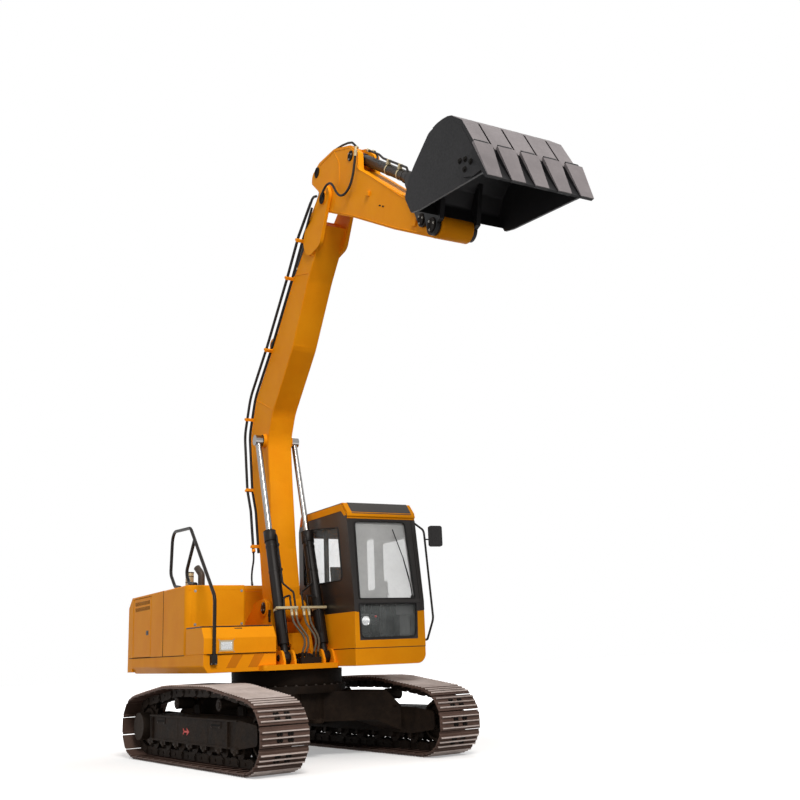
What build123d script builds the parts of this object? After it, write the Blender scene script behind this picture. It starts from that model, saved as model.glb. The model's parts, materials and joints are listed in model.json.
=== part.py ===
from build123d import *
import math
import os

os.makedirs("parts", exist_ok=True)

# Crawler excavator with cab, one-piece boom, arm and bucket, standing on its tracks.
# Everything is modelled about the swing axis: x to the machine's left, -y ahead, z up, z = 0 ground.
# At export the whole machine slides along y, so that the origin is below the middle of its length.

# ---------------------------------------------------------------- driving dimensions, mm and degrees
CRAWLER_TURN = 6.0          # tracks turned under the upper structure

# running gear
TRACK_GAUGE = 2380.0
SHOE_WIDTH = 600.0
SHOE_PITCH = 197.0          # wanted pitch; the real one closes the loop on a whole number
GROUSER_HEIGHT = 26.0
GROUSER_ROOT = 22.0
GROUSER_TIP = 10.0
GROUSERS = 3
SHOE_RISE = 70.0            # chain pin line to the shoe's outer face
SHOE_THICK = 22.0
RAIL_DROP = 60.0            # chain pin line to the rail that the rollers run on
RAIL_INNER = 48.0           # half the gap between the two rails of a chain
RAIL_OUTER = 102.0
WRAP_RADIUS = 314.0         # chain pin line round idler and sprocket
IDLER_Y = -1750.0
SPROCKET_Y = 1590.0
CARRIER_YS = (-700.0, 550.0)
CARRIER_LIFT = 761.0        # chain pin line, upper run above lower run
CHAIN_PLAY = 8.0            # room between the chain and the upper rollers
ROLLER_COUNT = 7
ROLLER_RADIUS = 80.0
ROLLER_FLANGE = 16.0
CARRIER_RADIUS = 70.0
SPROCKET_TEETH = 21
SPROCKET_WIDTH = 70.0
FINAL_DRIVE_RADIUS = 178.0

# track frame
FRAME_HALF_WIDTH = 210.0
FRAME_TOP = 575.0
FRAME_BOTTOM = 262.0
FRAME_PLATE = 20.0
FRAME_FRONT_Y = -1400.0
FRAME_REAR_Y = 1170.0
FORK_FRONT_Y = -1880.0

# car body
BODY_TOP = 790.0
BODY_BOTTOM = 430.0
BODY_HALF = 640.0
SLEW_RADIUS = 720.0
TOW_EYE_REACH = 770.0
TOW_EYE_RADIUS = 36.0
TOW_EYE_THICK = 45.0
SLEW_GAP = 8.0

# upper structure
DECK_BOTTOM = 1085.0
DECK_THICK = 65.0
PLATFORM_TOP = 1305.0
HOUSE_HALF = 1365.0
PANEL_TOP = 2180.0
PANEL = 30.0
PANEL_GAP = 8.0
TOOLBOX_FRONT_Y = -700.0
TOOLBOX_TOP = 1640.0
TOOLBOX_INNER_X = -430.0
TANK_FRONT_Y = 20.0
TANK_REAR_Y = 1030.0
TANK_INNER_X = -560.0
PUMP_DOOR_Y = 1640.0
LEFT_WALL_X = 430.0
LEFT_FRONT_Y = 480.0
LEFT_POST_Y = 1420.0
WEIGHT_FRONT_Y = 2605.0
WEIGHT_REAR_Y = 2950.0
WEIGHT_CROWN = 60.0         # how far the tail bulges at the middle
LIFT_EYE_X = 620.0
LIFT_EYE_Y = 2690.0
LIFT_EYE_RISE = 50.0
LIFT_EYE_RADIUS = 30.0
LIFT_EYE_THICK = 40.0
HOOD_HALF = 940.0
HOOD_FRONT_Y = 1400.0
HOOD_HEIGHT = 90.0

# boom mounting
FOOT_PIN = (100.0, 1880.0)  # y, z of the boom foot pin
CYLINDER_FOOT = (-600.0, 1230.0)
CYLINDER_X = 272.0
EYE_HALF = 50.0
SIDE_PLAY = 7.0             # between the faces of a hinge
PIN_PLAY = 0.06
WEB_THICK = 45.0
EAR_THICK = 30.0

# front: lengths of the links and how they stand
BOOM_LENGTH = 5454.0
BOOM_RISE = 68.94           # foot pin to tip pin, above the horizontal ahead
BOOM_WIDTH = 340.0
BOOM_FOOT_HALF = 215.0
ARM_LENGTH = 3070.0
ARM_RISE = -28.8
ARM_WIDTH = 300.0
FORK_EAR = 44.0
TIP_SWING = 345.0           # room for the arm round the boom's tip pin
BUCKET_RISE = -5.9          # mouth plane, hinge side to lip
BUCKET_WIDTH = 1160.0
BUCKET_SIDE = 25.0
BUCKET_SKIN = 30.0

# pins on the links, in each link's own axes: along it and above it
LIFT_PIN = (2093.0, 1020.0)         # boom: boom cylinders' rod eyes
ARM_CYL_BASE = (3430.0, 1352.0)     # boom: arm cylinder's base
ARM_CYL_EYE = (-486.0, 303.0)       # arm: arm cylinder's rod eye
BUCKET_CYL_BASE = (492.0, 579.0)    # arm: bucket cylinder's base
ROCKER_PIN = (ARM_LENGTH - 345.0, 27.0)         # arm: rocker levers
LINK_PIN = (-142.0, 398.0)          # bucket: link
ROCKER_LENGTH = 622.0
LINK_LENGTH = 560.0

# hydraulic cylinders: tube radius, rod radius, base to gland face, rod behind its eye
BOOM_CYL_TUBE = 74.0
ARM_CYL_TUBE = 76.0
BUCKET_CYL_TUBE = 66.0
NECK = 165.0                # base pin to the start of the full tube
GLAND_RISE = 9.0            # gland collar above the tube
GLAND_LENGTH = 150.0

# cab
CAB_RIGHT = 362.0
CAB_LEFT = 1362.0
CAB_FRONT_Y = -1310.0
CAB_REAR_Y = 380.0
CAB_SILL = 1310.0
CAB_BELT = 1870.0
CAB_BROW = 2985.0
CAB_ROOF = 3150.0
CAB_LEAN = 160.0
CAB_WALL = 50.0
GLASS = 8.0
DOOR_FRONT_Y = -1140.0
DOOR_REAR_Y = -150.0
DOOR_BOTTOM = 1345.0
DOOR_TOP = 2800.0
DOOR_GAP = 7.0
RAIL_TUBE = 22.0            # radius of the handrail's tube
CAB_RAIL_TUBE = 14.0
MIRROR_Y = -1580.0
MIRROR_WIDTH = 180.0
MIRROR_HEIGHT = 265.0
MIRROR_THICK = 45.0

# pipes and hoses
PIPE_RADIUS = 19.0
PIPE_LIFT = 50.0            # boom pipes above the boom's upper edge
PIPE_XS = (-170.0, -245.0)
LIFT_HOSE_RADIUS = 14.0
ARM_HOSE_RADIUS = 15.0
DRAIN_HOSE_RADIUS = 13.0
HOSE_CLAMP_AT = 606.0       # along the boom cylinder, base pin to the clamp's near face
HOSE_CLAMP_THICK = 28.0
HOSE_CLAMP_OUT = 90.0       # cylinder axis to the hoses
HOSE_FERRULE = 90.0         # fitting below the clamp, to the hose's end
HOSE_FERRULE_RADIUS = 18.0


# ---------------------------------------------------------------- helpers
def block(x0, x1, y0, y1, z0, z1):
    """Box between two corners."""
    return Pos((x0 + x1) / 2, (y0 + y1) / 2, (z0 + z1) / 2) * Box(x1 - x0, y1 - y0, z1 - z0)


def outline(points):
    """Closed face from (u, v) or (u, v, corner radius) points."""
    corners = [(p[0], p[1]) for p in points]
    radii = [p[2] if len(p) > 2 else 0.0 for p in points]
    return make_face(FilletPolyline(*corners, radius=radii, close=True))


def lobe(*circles):
    """Straight-sided hull of (u, v, radius) circles."""
    edges = []
    for u, v, radius in circles:
        edges += (Pos(u, v) * Circle(radius)).edges()
    return make_hull(edges)


def machine_plane():
    """Side view of the machine: u = y, v = z, extruded along +x."""
    return Plane.YZ


def link_plane(pin, rise):
    """Side view of a link: u ahead along it from its pin, v above it."""
    e = math.radians(rise)
    return Plane(origin=(0, pin[0], pin[1]), x_dir=(0, -math.cos(e), math.sin(e)), z_dir=(-1, 0, 0))


def slab(plane, face, x0, x1):
    """Extrude a side-view face across the machine from x0 to x1."""
    start = x0 if plane.z_dir.X > 0 else -x1
    return plane.location * Pos(0, 0, start) * extrude(face, amount=x1 - x0)


def pair(plane, face, x0, x1):
    """The slab from x0 to x1 and its twin on the other side of the middle."""
    return slab(plane, face, x0, x1) + slab(plane, face, -x1, -x0)


def pin(plane, at, radius, x0, x1):
    """Round bar across the machine."""
    return slab(plane, Pos(at[0], at[1]) * Circle(radius), x0, x1)


def post(x, y, radius, z0, z1):
    """Upright round bar."""
    return Pos(x, y, (z0 + z1) / 2) * Cylinder(radius, z1 - z0)


def floor_plan(face, z0, z1):
    """Extrude a plan-view face upwards."""
    return Pos(0, 0, z0) * extrude(face, amount=z1 - z0)


def tube(points, radius, bends):
    """Round tube along straight runs joined by tangent arcs."""
    path = FilletPolyline(*points, radius=bends)
    start = Plane(origin=path @ 0, z_dir=path % 0)
    return sweep(start * Circle(radius), path=path)


def point_on(pin_yz, rise, local):
    """World (y, z) of a point given in a link's own axes."""
    e = math.radians(rise)
    y = pin_yz[0] - local[0] * math.cos(e) + local[1] * math.sin(e)
    z = pin_yz[1] + local[0] * math.sin(e) + local[1] * math.cos(e)
    return (y, z)


def rise_of(a, b):
    """Angle above the horizontal ahead of the line from a to b, both (y, z)."""
    return math.degrees(math.atan2(b[1] - a[1], a[0] - b[0]))


def distance(a, b):
    return math.hypot(b[0] - a[0], b[1] - a[1])


def circles_meet(c1, r1, c2, r2):
    """The higher of the two points where two circles meet."""
    gap = distance(c1, c2)
    along = (r1 * r1 - r2 * r2 + gap * gap) / (2 * gap)
    across = math.sqrt(r1 * r1 - along * along)
    ey, ez = (c2[0] - c1[0]) / gap, (c2[1] - c1[1]) / gap
    options = []
    for side in (-1, 1):
        options.append((c1[0] + along * ey - side * across * ez, c1[1] + along * ez + side * across * ey))
    return max(options, key=lambda p: p[1])


# ---------------------------------------------------------------- where the pins are, (y, z)
TIP_PIN = point_on(FOOT_PIN, BOOM_RISE, (BOOM_LENGTH, 0))
BUCKET_PIN = point_on(TIP_PIN, ARM_RISE, (ARM_LENGTH, 0))
LIFT_AT = point_on(FOOT_PIN, BOOM_RISE, LIFT_PIN)
ARM_BASE_AT = point_on(FOOT_PIN, BOOM_RISE, ARM_CYL_BASE)
ARM_EYE_AT = point_on(TIP_PIN, ARM_RISE, ARM_CYL_EYE)
CURL_BASE_AT = point_on(TIP_PIN, ARM_RISE, BUCKET_CYL_BASE)
ROCKER_AT = point_on(TIP_PIN, ARM_RISE, ROCKER_PIN)
LINK_AT = point_on(BUCKET_PIN, BUCKET_RISE, LINK_PIN)
ROD_MEET_AT = circles_meet(ROCKER_AT, ROCKER_LENGTH, LINK_AT, LINK_LENGTH)

PARTS = {}

# lift hoses hang from the clamps on the boom cylinders to a manifold on the deck:
# name: (x at the clamp, how far they lean to the left as a share of the widest)
LIFT_HOSES = {
    "lift_hose_1": (-142.0, 1.0),
    "lift_hose_2": (-82.0, 0.9),
    "lift_hose_3": (28.0, 0.85),
    "lift_hose_4": (98.0, 0.6),
}
lift_rise = math.radians(rise_of(CYLINDER_FOOT, LIFT_AT))
ALONG = (-math.cos(lift_rise), math.sin(lift_rise))
FERRULE_TOP = (CYLINDER_FOOT[0] + HOSE_CLAMP_AT * ALONG[0] - HOSE_CLAMP_OUT * ALONG[1],
               CYLINDER_FOOT[1] + HOSE_CLAMP_AT * ALONG[1] + HOSE_CLAMP_OUT * ALONG[0])
LIFT_HOSE_TOP = (FERRULE_TOP[0] - HOSE_FERRULE * ALONG[0], FERRULE_TOP[1] - HOSE_FERRULE * ALONG[1])
LIFT_HOSE_STRAIGHT = (LIFT_HOSE_TOP[0] - 85 * ALONG[0], LIFT_HOSE_TOP[1] - 85 * ALONG[1])
LIFT_HOSE_LEAN = 115.0
# below the straight part: lean as a share of the widest, step ahead, drop
LIFT_HOSE_BENDS = [(0.44, -43, -88), (1.0, -89, -189), (0.957, -119, -289), (0.66, -110, -369),
                   (0.66, -110, -440)]
LIFT_HOSE_END = (LIFT_HOSE_STRAIGHT[0] + LIFT_HOSE_BENDS[-1][1],
                 LIFT_HOSE_STRAIGHT[1] + LIFT_HOSE_BENDS[-1][2])
MANIFOLD_X = 35.0
MANIFOLD_HALF = 138.0


# ---------------------------------------------------------------- running gear
LOWER_RUN_Z = GROUSER_HEIGHT + SHOE_RISE
WHEEL_Z = LOWER_RUN_Z + WRAP_RADIUS
UPPER_RUN_Z = LOWER_RUN_Z + CARRIER_LIFT


def leave_angle(wheel_y, carrier_y):
    """Angle on a wheel at which the straight run to a carrier roller leaves it."""
    dy, dz = carrier_y - wheel_y, UPPER_RUN_Z - WHEEL_Z
    reach = math.hypot(dy, dz)
    turn = math.acos(WRAP_RADIUS / reach)
    return math.atan2(dz, dy) + (turn if dy > 0 else -turn)


def chain_line():
    """Chain pins, evenly spaced round the closed loop, as (y, z)."""
    rear = leave_angle(SPROCKET_Y, CARRIER_YS[1])
    front = leave_angle(IDLER_Y, CARRIER_YS[0])

    def on_wheel(wheel_y, angle):
        return (wheel_y + WRAP_RADIUS * math.cos(angle), WHEEL_Z + WRAP_RADIUS * math.sin(angle))

    def straight(a, b):
        length = distance(a, b)
        return length, lambda s: (a[0] + (b[0] - a[0]) * s / length, a[1] + (b[1] - a[1]) * s / length)

    def arc(wheel_y, a0, a1):
        return WRAP_RADIUS * (a1 - a0), lambda s: on_wheel(wheel_y, a0 + s / WRAP_RADIUS)

    top_rear = (CARRIER_YS[1], UPPER_RUN_Z)
    top_front = (CARRIER_YS[0], UPPER_RUN_Z)
    runs = [
        straight((IDLER_Y, LOWER_RUN_Z), (SPROCKET_Y, LOWER_RUN_Z)),
        arc(SPROCKET_Y, -math.pi / 2, rear),
        straight(on_wheel(SPROCKET_Y, rear), top_rear),
        straight(top_rear, top_front),
        straight(top_front, on_wheel(IDLER_Y, front)),
        arc(IDLER_Y, front, 1.5 * math.pi),
    ]
    total = sum(length for length, _ in runs)
    count = round(total / SHOE_PITCH)
    pins = []
    for i in range(count):
        s = total * i / count
        for length, place in runs:
            if s <= length:
                pins.append(place(s))
                break
            s -= length
    return pins


def shoe_frame(a, b):
    """Length, direction and outward normal of the link from pin a to pin b."""
    length = distance(a, b)
    ty, tz = (b[0] - a[0]) / length, (b[1] - a[1]) / length
    return length, (ty, tz), (tz, -ty)


def grouser_outline(pins):
    """Outer edge of the loop: three grousers on every shoe."""
    points = []
    for i, a in enumerate(pins):
        length, t, n = shoe_frame(a, pins[(i + 1) % len(pins)])
        for g in range(GROUSERS):
            middle = length * (g + 0.5) / GROUSERS
            foot, tip = GROUSER_ROOT / 2, GROUSER_TIP / 2
            top = SHOE_RISE + GROUSER_HEIGHT
            for s, h in ((-foot, SHOE_RISE), (-tip, top), (tip, top), (foot, SHOE_RISE)):
                points.append((a[0] + (middle + s) * t[0] + h * n[0], a[1] + (middle + s) * t[1] + h * n[1]))
    return points


def offset_outline(pins, out):
    """Corners of the loop moved out from the pin line, leaving out those in a straight run."""
    points = []
    for i, b in enumerate(pins):
        _, t0, n0 = shoe_frame(pins[i - 1], b)
        _, t1, n1 = shoe_frame(b, pins[(i + 1) % len(pins)])
        if abs(t0[0] * t1[1] - t0[1] * t1[0]) < 1e-4:
            continue
        my, mz = n0[0] + n1[0], n0[1] + n1[1]
        scale = 2 * out / (my * my + mz * mz)
        points.append((b[0] + my * scale, b[1] + mz * scale))
    return points


def polygon(points):
    return make_face(Polyline(*points, close=True))


SIDE_X = TRACK_GAUGE / 2
CHAIN_PINS = chain_line()
RAIL_Z = LOWER_RUN_Z + RAIL_DROP
WHEEL_RADIUS = WRAP_RADIUS - RAIL_DROP


def track_loop():
    """One loop about its own middle plane: shoes with grousers, and two rails."""
    band = polygon(grouser_outline(CHAIN_PINS)) - polygon(offset_outline(CHAIN_PINS, SHOE_RISE - SHOE_THICK))
    rail = polygon(offset_outline(CHAIN_PINS, SHOE_RISE - SHOE_THICK / 2))
    rail -= polygon(offset_outline(CHAIN_PINS, -RAIL_DROP))
    side = machine_plane()
    loop = slab(side, band, -SHOE_WIDTH / 2, SHOE_WIDTH / 2)
    return loop + pair(side, rail, RAIL_INNER, RAIL_OUTER)


def chord_radius():
    """Rail radius of the chain at the middle of a link on a wheel."""
    length, _, _ = shoe_frame(CHAIN_PINS[0], CHAIN_PINS[1])
    return math.sqrt(WRAP_RADIUS ** 2 - (length / 2) ** 2) - RAIL_DROP


def side_frame():
    """Box frame between idler and sprocket, with a fork for the idler, for the right side."""
    side = machine_plane()
    w = FRAME_HALF_WIDTH
    mid_z = (FRAME_TOP + FRAME_BOTTOM) / 2
    plate = outline([
        (FORK_FRONT_Y, FRAME_BOTTOM + 60, 50), (FORK_FRONT_Y, FRAME_TOP - 40, 50),
        (FRAME_FRONT_Y, FRAME_TOP), (FRAME_REAR_Y - 60, FRAME_TOP), (FRAME_REAR_Y, FRAME_TOP - 60),
        (FRAME_REAR_Y, FRAME_BOTTOM), (FRAME_FRONT_Y, FRAME_BOTTOM),
    ])
    frame = pair(side, plate, w - FRAME_PLATE, w)
    roof_z = RAIL_Z + 2 * ROLLER_RADIUS + ROLLER_FLANGE + 12
    frame += block(-w, w, FRAME_FRONT_Y, FRAME_REAR_Y, roof_z, FRAME_TOP)
    for y in (FRAME_FRONT_Y + 220, FRAME_REAR_Y - 40):
        frame += block(-w - 12, -w + 2, y - 9, y + 9, FRAME_BOTTOM, FRAME_TOP)
    frame += block(-w - 12, -w + 2, FRAME_FRONT_Y, FRAME_REAR_Y, FRAME_TOP - 22, FRAME_TOP)
    frame += block(-w - 12, -w + 2, FRAME_FRONT_Y, FRAME_REAR_Y, FRAME_BOTTOM, FRAME_BOTTOM + 22)
    arm_plate = outline([
        (FRAME_REAR_Y - 200, FRAME_BOTTOM + 40), (FRAME_REAR_Y - 200, FRAME_TOP),
        (SPROCKET_Y, WHEEL_Z + 175, 60), (SPROCKET_Y + 160, WHEEL_Z, 60), (SPROCKET_Y, WHEEL_Z - 175, 60),
    ])
    frame += slab(side, arm_plate, w - 50, w)
    frame += pin(side, (FRAME_FRONT_Y + 40, mid_z), 60, -w, w)
    for y in CARRIER_YS:
        frame += slab(side, outline([
            (y - 90, FRAME_TOP - 10), (y - 45, UPPER_RUN_Z - RAIL_DROP - 30),
            (y + 45, UPPER_RUN_Z - RAIL_DROP - 30),
            (y + 90, FRAME_TOP - 10)]), w - 40, w - 10)
    return frame


CARRIER_Z = UPPER_RUN_Z - RAIL_DROP - CHAIN_PLAY - CARRIER_RADIUS


def rollers():
    """Lower rollers on their axles and the two upper rollers, apart from each other."""
    side = machine_plane()
    z = RAIL_Z + ROLLER_RADIUS + 0.5
    first, last = IDLER_Y + 430, SPROCKET_Y - 430
    group = []
    for i in range(ROLLER_COUNT):
        y = first + (last - first) * i / (ROLLER_COUNT - 1)
        roller = pair(side, Pos(y, z) * Circle(ROLLER_RADIUS), 30, RAIL_OUTER + 15)
        flange = Pos(y, z) * Circle(ROLLER_RADIUS + ROLLER_FLANGE)
        roller += pair(side, flange, RAIL_OUTER + 14, RAIL_OUTER + 28)
        roller += pin(side, (y, z), 38, -FRAME_HALF_WIDTH + FRAME_PLATE, FRAME_HALF_WIDTH - FRAME_PLATE)
        group.append(roller)
    for y in CARRIER_YS:
        roller = pin(side, (y, CARRIER_Z), CARRIER_RADIUS, -105, 105)
        roller += pin(side, (y, CARRIER_Z), 32, 100, FRAME_HALF_WIDTH - 40)
        group.append(roller)
    return group


def idler():
    """Front guide wheel with its axle blocks between the fork plates."""
    side = machine_plane()
    at = (IDLER_Y, WHEEL_Z)
    radius = chord_radius() - 2
    wheel = pin(side, at, radius, -RAIL_OUTER, RAIL_OUTER)
    wheel += pin(side, at, radius + 34, -RAIL_INNER + 8, RAIL_INNER - 8)
    wheel -= pair(side, Pos(*at) * (Circle(radius - 34) - Circle(95)), 60, RAIL_OUTER + 1)
    inner = FRAME_HALF_WIDTH - FRAME_PLATE
    wheel += pin(side, at, 62, -inner, inner)
    return wheel


def sprocket_profile():
    """Toothed rim that runs between the chain's rails."""
    points = []
    for i in range(SPROCKET_TEETH):
        middle = 2 * math.pi * i / SPROCKET_TEETH
        step = 2 * math.pi / SPROCKET_TEETH
        for share, radius in ((-0.32, WRAP_RADIUS - 42), (-0.14, WRAP_RADIUS + 12),
                              (0.14, WRAP_RADIUS + 12), (0.32, WRAP_RADIUS - 42)):
            a = middle + share * step
            points.append((SPROCKET_Y + radius * math.cos(a), WHEEL_Z + radius * math.sin(a)))
    return polygon(points)


def final_drive():
    """Sprocket on its planetary drive, for the right side."""
    side = machine_plane()
    at = (SPROCKET_Y, WHEEL_Z)
    drive = slab(side, sprocket_profile(), -SPROCKET_WIDTH / 2, SPROCKET_WIDTH / 2)
    drive += pin(side, at, chord_radius() - 12, -SPROCKET_WIDTH / 2 - 30, SPROCKET_WIDTH / 2 + 30)
    drive += pin(side, at, FINAL_DRIVE_RADIUS, -FRAME_HALF_WIDTH, 0)
    drive += pin(side, at, FINAL_DRIVE_RADIUS - 25, 0, FRAME_HALF_WIDTH - 50)
    return drive


def turned(shape):
    """Swing a piece of the undercarriage to where it stands under the upper structure."""
    return Rot(0, 0, CRAWLER_TURN) * shape


def both_sides(name, shape):
    """Store a right-hand piece and its mirror image, about the undercarriage's own middle."""
    solids = shape if isinstance(shape, list) else [shape]
    right = [Pos(-SIDE_X, 0, 0) * s for s in solids]
    PARTS[name + "_right"] = [turned(s) for s in right]
    PARTS[name + "_left"] = [turned(mirror(s, about=Plane.YZ)) for s in right]


both_sides("track", track_loop())
both_sides("track_frame", side_frame())
both_sides("track_rollers", rollers())
both_sides("idler", idler())
both_sides("final_drive", final_drive())


def car_body():
    """X-shaped centre frame whose four legs run down to the track frames."""
    inner = SIDE_X - FRAME_HALF_WIDTH
    legs = Circle(BODY_HALF + 30)
    for sx in (-1, 1):
        for sy in (-1, 1):
            legs += outline([
                (sx * 120, sy * 620), (sx * inner, sy * 1180), (sx * inner, sy * 760), (sx * 560, sy * 120)])
    plan = floor_plan(legs, FRAME_BOTTOM, BODY_TOP)
    front_view = outline([
        (-inner, FRAME_BOTTOM + 30), (-inner + 260, BODY_BOTTOM), (inner - 260, BODY_BOTTOM),
        (inner, FRAME_BOTTOM + 30), (inner, FRAME_TOP + 20), (inner - 150, BODY_TOP),
        (-inner + 150, BODY_TOP), (-inner, FRAME_TOP + 20)])
    profile = Plane.XZ.location * Pos(0, 0, -1400) * extrude(front_view, amount=2800)
    body = plan & profile
    body += post(0, 0, SLEW_RADIUS + 40, BODY_TOP - 5, BODY_TOP + 90)
    tow = Pos(0, -TOW_EYE_REACH) * Circle(80) + outline([
        (-80, -TOW_EYE_REACH), (80, -TOW_EYE_REACH), (140, -BODY_HALF + 40), (-140, -BODY_HALF + 40)])
    tow -= Pos(0, -TOW_EYE_REACH) * Circle(TOW_EYE_RADIUS)
    body += floor_plan(tow, BODY_BOTTOM, BODY_BOTTOM + TOW_EYE_THICK)
    return body


PARTS["car_body"] = [turned(car_body())]
PARTS["slew_ring"] = [turned(post(0, 0, SLEW_RADIUS, BODY_TOP + 90, DECK_BOTTOM - SLEW_GAP))]


# ---------------------------------------------------------------- upper structure
def main_frame():
    """Deck plate, the two tall webs that carry the boom, and the ears of the boom cylinders."""
    side = machine_plane()
    deck_top = DECK_BOTTOM + DECK_THICK
    deck = floor_plan(outline([
        (-620, TOOLBOX_FRONT_Y + 12), (-660, TOOLBOX_FRONT_Y + 12), (-645, -830, 40), (CAB_RIGHT, -830, 20),
        (CAB_RIGHT, WEIGHT_FRONT_Y), (-620, WEIGHT_FRONT_Y)]), DECK_BOTTOM, deck_top)
    web_in = BOOM_FOOT_HALF + SIDE_PLAY
    foot_y, foot_z = FOOT_PIN
    web = outline([
        (foot_y - 430, deck_top - 2), (foot_y - 150, foot_z + 60, 110), (foot_y + 60, foot_z + 130, 110),
        (foot_y + 370, foot_z + 80, 90), (foot_y + 720, foot_z - 160, 200), (foot_y + 1200, deck_top + 180),
        (foot_y + 1200, deck_top - 2)])
    frame = deck + pair(side, web, web_in, web_in + WEB_THICK)
    boss = Pos(foot_y, foot_z) * Circle(105)
    frame += pair(side, boss, web_in, web_in + WEB_THICK + 18)
    frame += pin(side, FOOT_PIN, 50, -web_in - WEB_THICK, web_in + WEB_THICK)
    frame += block(-web_in - 5, web_in + 5, foot_y + 620, foot_y + 650, deck_top - 2, deck_top + 250)
    cross = block(-web_in - 5, web_in + 5, foot_y - 270, foot_y - 245, deck_top - 2, foot_z - 340)
    cross -= block(-130, -10, foot_y - 275, foot_y - 240, deck_top + 170, deck_top + 250)
    frame += cross - Plane.XZ.location * Pos(50, deck_top + 30, 0) * Cylinder(95, 1000)
    frame += block(-MANIFOLD_HALF + MANIFOLD_X, MANIFOLD_HALF + MANIFOLD_X, LIFT_HOSE_END[0] - 45,
                   LIFT_HOSE_END[0] + 45, deck_top - 2, LIFT_HOSE_END[1])
    base_y, base_z = CYLINDER_FOOT
    ear = outline([
        (base_y - 160, deck_top - 2), (base_y - 160, deck_top + 40, 30), (base_y - 90, base_z + 90, 80),
        (base_y + 90, base_z + 90, 80), (base_y + 160, deck_top + 40, 30), (base_y + 160, deck_top - 2)])
    inner = CYLINDER_X - EYE_HALF - SIDE_PLAY
    outer = CYLINDER_X + EYE_HALF + SIDE_PLAY
    frame += pair(side, ear, inner - EAR_THICK, inner)
    frame += pair(side, ear, outer, outer + EAR_THICK)
    frame += pair(side, Pos(base_y, base_z) * Circle(40), inner - EAR_THICK, outer + EAR_THICK)
    return frame


PARTS["main_frame"] = [main_frame()]


def platform(x0, x1, y_front):
    """Side platform of the upper structure with its D-shaped outer beam rounded below."""
    outer = x0 if abs(x0) > abs(x1) else x1
    inner = x1 if outer == x0 else x0
    step = math.copysign(1, outer)
    section = outline([
        (inner, DECK_BOTTOM), (outer - step * 55, DECK_BOTTOM, 20), (outer, DECK_BOTTOM + 80, 40),
        (outer, PLATFORM_TOP), (inner, PLATFORM_TOP)])
    return Plane.XZ.location * Pos(0, 0, -WEIGHT_FRONT_Y) * extrude(section, amount=WEIGHT_FRONT_Y - y_front)


PARTS["platform_right"] = [
    platform(-HOUSE_HALF, -620, TOOLBOX_FRONT_Y + 12)
    + block(-622, TOOLBOX_INNER_X, TOOLBOX_FRONT_Y + 12, TOOLBOX_FRONT_Y + 220,
            DECK_BOTTOM + DECK_THICK, PLATFORM_TOP)]
PARTS["platform_left"] = [platform(CAB_RIGHT, HOUSE_HALF, CAB_REAR_Y)]


def toolbox():
    """Low box ahead of the tank, open at the top under its lid."""
    side = machine_plane()
    lid_z = TOOLBOX_TOP - 16
    shape = outline([
        (TOOLBOX_FRONT_Y, PLATFORM_TOP), (TOOLBOX_FRONT_Y, lid_z - 130), (TOOLBOX_FRONT_Y + 90, lid_z, 20),
        (TANK_FRONT_Y, lid_z), (TANK_FRONT_Y, PLATFORM_TOP)])
    box = slab(side, shape, -HOUSE_HALF, TOOLBOX_INNER_X)
    front = TOOLBOX_FRONT_Y + 130
    box -= block(-HOUSE_HALF + PANEL, TOOLBOX_INNER_X - PANEL, front, TANK_FRONT_Y - PANEL,
                 PLATFORM_TOP + PANEL, TOOLBOX_TOP)
    return box


def toolbox_lid():
    """Tread plate lid, hinged at its rear edge."""
    return block(-HOUSE_HALF + 12, TOOLBOX_INNER_X - 12, TOOLBOX_FRONT_Y + 105, TANK_FRONT_Y - 34,
                 TOOLBOX_TOP - 11, TOOLBOX_TOP)


PARTS["toolbox"] = [toolbox()]
PARTS["toolbox_lid"] = [toolbox_lid()]

tank = floor_plan(outline([
    (-HOUSE_HALF, TANK_FRONT_Y, 85), (TANK_INNER_X, TANK_FRONT_Y, 40), (TANK_INNER_X, TANK_REAR_Y, 10),
    (-HOUSE_HALF, TANK_REAR_Y, 10)]), PLATFORM_TOP, PANEL_TOP)
tank = fillet(tank.edges().group_by(Axis.Z)[-1], 18)
PARTS["fuel_tank"] = [tank]


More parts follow.
